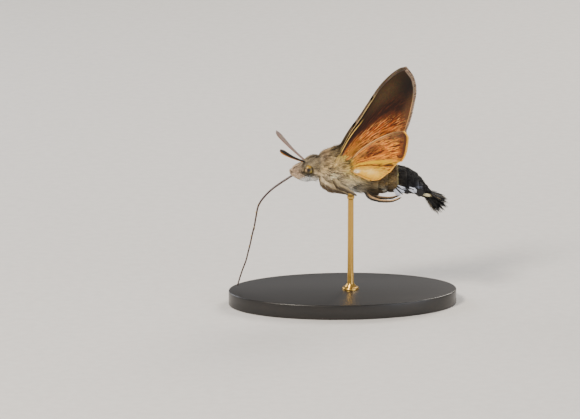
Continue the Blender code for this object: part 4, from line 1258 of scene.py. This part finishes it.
# %% Sheets and veins
SHEET_CELLS = {"forewing": (84, 44), "hindwing": (64, 50)}
SHEET_THICKNESS = 0.12
VEIN_RADII = (0.115, 0.045)
VEIN_POINTS = 19


def sheet_point(wing, side, along, across):
    """A point of the sheet in metres, with the small folds between the veins."""
    place = wing_point(wing, side, along, across)
    fold = 0.05 * math.sin(9 * along + 4 * across) * along
    fold += 0.035 * math.sin(34 * across + 3 * along) * min(3 * along, 1)
    return (place + (0, side * fold, 0)) * MM


def make_sheet(name, side):
    select_only()
    rows, columns = SHEET_CELLS[name]
    bpy.ops.mesh.primitive_grid_add(x_subdivisions=rows, y_subdivisions=columns, size=1)
    sheet = bpy.context.object
    sheet.data.uv_layers[0].name = "wing"
    for vertex in sheet.data.vertices:
        vertex.co = sheet_point(WINGS[name], side, vertex.co.x + 0.5, vertex.co.y + 0.5)
    apply_modifier(sheet, "SOLIDIFY", thickness=SHEET_THICKNESS * MM, offset=0)
    bpy.ops.object.mode_set(mode="EDIT")
    bpy.ops.mesh.select_all(action="SELECT")
    bpy.ops.mesh.normals_make_consistent(inside=False)
    bpy.ops.object.mode_set(mode="OBJECT")
    bpy.ops.object.shade_smooth()
    return sheet


def make_veins(name, side):
    curve = bpy.data.curves.new("veins", "CURVE")
    curve.dimensions = "3D"
    curve.bevel_depth = MM
    curve.bevel_resolution = 1
    curve.use_fill_caps = True
    vein_lines = WINGS[name]["veins"]
    nearest, shares = KDTree(len(vein_lines) * VEIN_POINTS), []
    for vein in vein_lines:
        line = curve.splines.new("POLY")
        line.points.add(VEIN_POINTS - 1)
        for k, point in enumerate(line.points):
            along, across = spline_point(vein, k / (VEIN_POINTS - 1))
            place = sheet_point(WINGS[name], side, along, across)
            point.co = (*place, 1)
            point.radius = VEIN_RADII[0] + (VEIN_RADII[1] - VEIN_RADII[0]) * along
            nearest.insert(place, len(shares))
            shares.append((along, across))
    nearest.balance()
    veins = bpy.data.objects.new("veins", curve)
    bpy.context.scene.collection.objects.link(veins)
    select_only(veins)
    bpy.ops.object.convert(target="MESH")
    bpy.ops.object.shade_smooth()
    mesh = veins.data
    while mesh.uv_layers:
        mesh.uv_layers.remove(mesh.uv_layers[0])
    spots = np.array([shares[nearest.find(vertex.co)[1]] for vertex in mesh.vertices])
    corners = np.array([loop.vertex_index for loop in mesh.loops])
    mesh.uv_layers.new(name="wing").data.foreach_set("uv", spots[corners].ravel())
    return veins


print("veins:", {name: len(wing["veins"]) for name, wing in WINGS.items()})

# %% [markdown]
# ## Wings with their fringes
#
# The fringe along the outer margin is a row of narrow scales, grey-brown on the forewing and cream on the
# hindwing, which gives it its bright rim. A frayed texture on the sheet would need transparency, so the
# scales are grown, on both faces in turn. Each face of the sheet takes its own material.

# %% Wings with their fringes
FRINGES = (  # wing, whether on the margin or else the trailing edge, scales, length, colours
    ("forewing", True, 420, 0.52, ("846c56", "43352a", "9c826a")),
    ("forewing", False, 200, 0.3, ("8d7450", "a98a5c")),
    ("hindwing", True, 560, 0.32, ("ffc23c", "f4ae30", "dc9628")),
    ("hindwing", False, 130, 0.3, ("d8982c", "ecba54")),
)
fringe_hair = scale_hair("fringe_scales", 0.7, 0.2, 0.3, 0.85)  # loose, dry scales: matt, with little painted shade at the roots


def make_fringe(name, word, side):
    scales = []
    for on, outer, count, length, colours in FRINGES:
        for k in range(count if on == name else 0):
            share = (k + dice.uniform()) / count
            along, across, step = (1, share, 0) if outer else (0.15 + 0.85 * share, 1, 0.04)
            place = wing_point(WINGS[name], side, along, across)
            lie = place - wing_point(WINGS[name], side, along - 0.02, across - step)
            tone = linear(colours[dice.integers(len(colours))])
            facing = (0, side if k % 2 else -side, 0)
            scales.append((place, facing, lie, length * dice.uniform(0.8, 1.05), tone, (along, across)))
    *blades, tones, spots = as_arrays(scales)
    blades += [dice.uniform(0.08, 0.13, len(tones)), (0, 0), tones, 0.05 + 0.9 * spots]
    return grow(f"{name}_fringe_{word}", *blades, profile=SCALE, flat=0.15, sink=0)


for name, wing in WINGS.items():
    for word, side in SIDES.items():
        sheet = join(f"{name}_sheet_{word}", [make_sheet(name, side), make_veins(name, side)])
        place_on_body(sheet, wing["under"], name, f"{name}_{word}")
        sheet.data.materials.append(wing["over"])
        inner = read(sheet.data.polygons, "normal")[:, 1] * side < 0
        sheet.data.polygons.foreach_set("material_index", inner.astype(int))
        place_on_body(make_fringe(name, word, side), fringe_hair, name)

# %% [markdown]
# ## Hair over the wings' roots
#
# Long hair from the thorax reaches over the roots of the wings and hides where they are hinged. The coat's own
# hair would grow into the wing, so this is grown on the first part of each wing's outer face, lying out along
# the wing. It is olive-yellow there and takes the fur's colours on the body.

# %% Hair over the wings' roots
ROOT_HAIRS = {"forewing": (1500, -0.085, -0.01), "hindwing": (2000, -0.15, 0.04)}  # number, shares along
ROOT_STEP = 0.05  # the share along that gives the wing's direction at its root
COMBED = (0.9, 0, 0.35)  # back and a little up
ROOT_TONES = ("dcb438", "bca038", "e4cc64", "a48c40")

for word, side in SIDES.items():
    hairs = []
    for name, wing in WINGS.items():
        count, low, high = ROOT_HAIRS[name]
        for k in range(count):
            across = dice.uniform(-0.1, 1.1)
            along = low + (high - low) * dice.uniform() + 0.07 * dice.uniform() ** 4 * across
            start = wing_point(wing, side, 0, across)
            step = wing_point(wing, side, ROOT_STEP, across) - start
            place = start + step * along / ROOT_STEP + (0, side * (0.15 - 4 * min(along, 0)), 0)
            lie = unit(step) + COMBED + (dice.normal() * 0.25, 0, dice.normal() * 0.25)
            tone = linear(ROOT_TONES[dice.integers(len(ROOT_TONES))]) * dice.uniform(0.7, 1.2)
            spot = (0.2 + 0.6 * across, 0.5 + 2 * along)
            hairs.append((place, (0, side, 0), lie, dice.uniform(0.6, 1.3), tone, spot))
    *blades, tones, spots = as_arrays(hairs)
    on_wing = np.clip(0.7 + 4.5 * (spots[:, 1] - 0.5), 0.2, 1)
    tones = lay_over(body_tints(blades[0]) * 1.1, tones, on_wing)
    blades += [dice.uniform(0.07, 0.12, len(tones)), (dice.uniform(4, 16, len(tones)), 0), tones, spots]
    place_on_body(grow(f"wing_root_hair_{word}", *blades, sink=0), body_hair, "body_hair")

# %% [markdown]
# ## Legs
#
# In flight the legs are folded against the body, and the hind pair trails behind. Each leg has a hip, a thick
# thigh, a shin with a pair of spurs and a thin foot with two claws. Its joints never bend here, so one tube
# with changing radii is enough. Short scales lie along it, because bare tubes would look like wire. Tube and
# scales are pale above and dark below, partly their own tones and partly painted shade on the lower side, and
# the tube under the scales is painted darker still, as painted shade.

# %% Legs
LEGS = {  # X, Y, Z, radius from the hip to the claws
    "foreleg": (
        (-4.35, 1.25, 26.75, 0.45), (-4.05, 2, 25.6, 0.66), (-3.3, 2.12, 24.95, 0.74),
        (-2.4, 2.15, 24.45, 0.62), (-1.6, 2.05, 24.1, 0.42), (-0.8, 1.95, 23.75, 0.32),
        (0.1, 1.82, 23.38, 0.19), (0.95, 1.7, 23, 0.09),
    ),
    "midleg": (
        (-2.1, 2.2, 26.95, 0.38), (-1.6, 3.05, 25.98, 0.46), (-1, 3.35, 25.15, 0.46), (0.3, 3.15, 24.4, 0.38),
        (0.9, 3, 24.02, 0.24), (1.4, 2.8, 23.75, 0.24), (2, 2.58, 23.35, 0.15), (2.5, 2.4, 23, 0.09),
    ),
    "hindleg": (
        (4.4, 1.35, 24.2, 0.32), (4.75, 1.5, 23.05, 0.3), (5.4, 1.58, 22.28, 0.3), (6.5, 1.48, 21.8, 0.27),
        (7.4, 1.4, 21.55, 0.24), (8.6, 1.34, 21.42, 0.21), (9.8, 1.3, 21.45, 0.17), (10.8, 1.24, 21.75, 0.13),
        (11.55, 1.2, 22.12, 0.09),
    ),
}
SPURS = {"foreleg": (), "midleg": (0.62,), "hindleg": (0.48, 0.6)}  # shares of the leg
# Each leg's pale tone above, and its dark tone below, which is partly painted shade.
LEG_TONES_AND_SHADE = {"foreleg": ("ead4a8", "5e4a30"), "midleg": ("c6b084", "54442c"), "hindleg": ("e2b67c", "120c08")}
LEG_STEPS = 40
LEG_SCALES = 1500
leg_scales = scale_hair("leg_scales", 0.7, 0.2, 0.3, 0.7)  # short, dry scales: matt, with some painted shade at the roots


def make_limb(name, line, places):
    """The tube of a leg with its claws and spurs."""
    pieces = [loft(name, path_rings(places), 14)]
    tip = Vector(places[-1][:3])
    onward = (tip - Vector(places[-3][:3])).normalized()
    spikes = [(tip, (0, turn, -0.5), 0.28, 0.05) for turn in (-0.6, 0.6)]
    for share in SPURS[name]:
        x, y, z, radius = spline_point(line, share)
        root = Vector((x, math.copysign(y, tip.y), z))
        spikes += [(root, (0, turn, -0.35), 0.75, 0.07) for turn in (-0.3, 0.35)]
    for root, aside, length, thick in spikes:
        end = root + (onward + Vector(aside)).normalized() * length
        taper = [(*root, thick), (*root.lerp(end, 0.5), thick * 0.8), (*end, thick * 0.15)]
        pieces.append(loft("spike", path_rings(taper), 8))
    return pieces


for word, side in SIDES.items():
    scales = []
    for number, (leg, line) in enumerate(LEGS.items()):
        places = [spline_point(line, k / LEG_STEPS) for k in range(LEG_STEPS + 1)]
        places = [(x, side * y, z, radius) for x, y, z, radius in places]
        limb = join(f"scaled_{leg}_{word}", make_limb(leg, line, places))
        pale, dark = (linear(tone) for tone in LEG_TONES_AND_SHADE[leg])
        # The tube is pale where it faces up and dark below, partly painted shade, and all of it is darkened as
        # painted shade under its scales.
        upward = read(limb.data.vertices, "normal")[:, 2]
        tint_mesh(limb.data, lay_over(dark, pale, np.clip(1.7 * upward - 0.1, 0, 1)) * 0.7)
        place_on_body(limb, scaled_horn, "leg", f"{leg}_{word}")
        for k in range(LEG_SCALES):
            share = dice.uniform(0.02, 0.93)
            i = min(int(share * LEG_STEPS), LEG_STEPS - 1)
            start, end = np.array(places[i]), np.array(places[i + 1])
            *centre, radius = start + (end - start) * (share * LEG_STEPS - i)
            heading = (end - start)[:3]
            outward = dice.normal(size=3)
            outward = unit(outward - heading * (outward @ heading) / (heading @ heading))
            # Scales are paler the more they face up: the dark lower side is partly painted shade.
            tone = dark + (pale - dark) * min(max(1.7 * outward[2] - 0.1 + dice.normal() * 0.15, 0), 1)
            spot = (0.05 + 0.9 * share, (number + 0.5 + 0.35 * outward[2]) / 3)
            scales.append((centre + outward * radius, outward, heading, 0.3 + radius, tone, spot))
    *blades, lengths, tones, spots = as_arrays(scales)
    lengths *= dice.uniform(0.7, 1.2, len(tones))
    widths = dice.uniform(0.08, 0.14, len(tones))
    coat = grow(f"leg_coat_{word}", *blades, lengths, widths, (32, 4), tones, spots, flat=0.25, sink=0.05)
    place_on_body(coat, leg_scales, "leg")

# %% [markdown]
# ## Finishes of the stand
#
# The stand is a turned oval base of hardwood under black satin lacquer, and a brass rod in a turned foot.
# Lacquer is smooth, with a faint ripple where the grain shows through. It could have no pattern at all, but it
# would then look like plastic. Satin brass carries fine rings from the lathe.

# %% Finishes of the stand
# Hardwood under satin lacquer: deep black with a soft clear coat. Its pores are 0.2 mm wide, drawn 1.1 mm.
lacquer = new_material("satin_black_lacquer")
place = add_node(lacquer, "TexCoord")
stretched = {"Vector": place.outputs["Object"], "Scale": Vector((0.06, 0.9, 0.9)) / MM}
along_grain = add_node(lacquer, "Mapping", stretched)
grain = add_node(lacquer, "TexNoise", {"Vector": along_grain, "Scale": 1, "Detail": 4, "Distortion": 0.6})
blacks = add_node(lacquer, "ValToRGB", {"Fac": grain}, stops=((0.3, "0b0908"), (0.7, "17110d")))
finish(lacquer, blacks, 0.38, {"Coat Weight": 0.35, "Coat Roughness": 0.22}, grain, 0.15, 0.03)

# Turned brass, brushed: a warm metal with soft highlights. The lathe's rings are 0.2 mm apart.
brass = new_material("satin_turned_brass")
place = add_node(brass, "TexCoord")
lathe = {"Vector": place.outputs["Object"], "Scale": 1.6 / MM, "Distortion": 0.6}
lathe = add_node(brass, "TexWave", lathe, bands_direction="Z").outputs["Fac"]
golds = add_node(brass, "ValToRGB", {"Fac": lathe}, stops=((0.1, "b58c42"), (0.9, "cea659")))
finish(brass, golds, 0.28, {"Metallic": 1}, lathe, 0.2, 0.02)
print("finishes:", lacquer.name, brass.name)

# %% [markdown]
# ## Stand
#
# The base has a shallow groove inside its rim and softly broken edges. A cylinder is stretched to an oval, its
# top is inset twice, down and up again, and Bevel rounds the edges, which is quicker than drawing a profile.
# The rod is lofted from its turned profile and goes up into the hair under the thorax.

# %% Stand
BASE_SIZE = (46, 26, 3)
RIM_WIDTH = 1.1  # the rim slopes down to the groove over this width
GROOVE = (0.3, 0.35)  # width of its inner wall, depth
BASE_BEVEL = 0.22
ROD_X = 1.6
ROD_PROFILE = (  # height, radius
    (3, 1.7), (3.22, 1.7), (3.42, 1.56), (3.55, 1.18), (3.8, 1.02), (4.05, 0.8), (4.35, 0.66), (9, 0.62),
    (15, 0.6), (21.6, 0.58), (21.8, 0.74), (22.3, 0.74), (22.5, 0.56), (24.1, 0.5),
)

select_only()
bpy.ops.mesh.primitive_cylinder_add(vertices=144, radius=0.5, depth=1, end_fill_type="NGON")
base = bpy.context.object
base.name = base.data.name = "stand_base_lacquered"
bpy.ops.object.mode_set(mode="EDIT")
bpy.ops.transform.resize(value=Vector(BASE_SIZE) * MM)
bpy.ops.transform.translate(value=(0, 0, BASE_SIZE[2] / 2 * MM))
bpy.ops.object.mode_set(mode="OBJECT")
for face in base.data.polygons:
    face.select = face.normal.z > 0.9
bpy.ops.object.mode_set(mode="EDIT")
for width, rise in ((RIM_WIDTH, -GROOVE[1]), GROOVE):
    bpy.ops.mesh.inset(thickness=width * MM)
    bpy.ops.transform.translate(value=(0, 0, rise * MM))
bpy.ops.object.mode_set(mode="OBJECT")
SHARP = math.radians(35)
apply_modifier(base, "BEVEL", width=BASE_BEVEL * MM, segments=3, limit_method="ANGLE", angle_limit=SHARP)
bpy.ops.object.shade_smooth_by_angle(angle=math.radians(40))
place_on_body(base, lacquer, "stand_wood", "stand_base")

rings = [((ROD_X, 0, height), Quaternion(), radius, radius) for height, radius in ROD_PROFILE]
rod = loft("stand_rod_turned", rings, 48)
bpy.ops.object.shade_smooth_by_angle(angle=SHARP)
place_on_body(rod, brass, "stand_brass", "stand_rod")

# %% [markdown]
# ## The end
#
# The box of the dressed model is printed, because it should nearly agree with the box of the plain solids.

# %% Sizes and finish
low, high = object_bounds()
print("visual box in mm:", [round(v / MM, 1) for v in high - low])
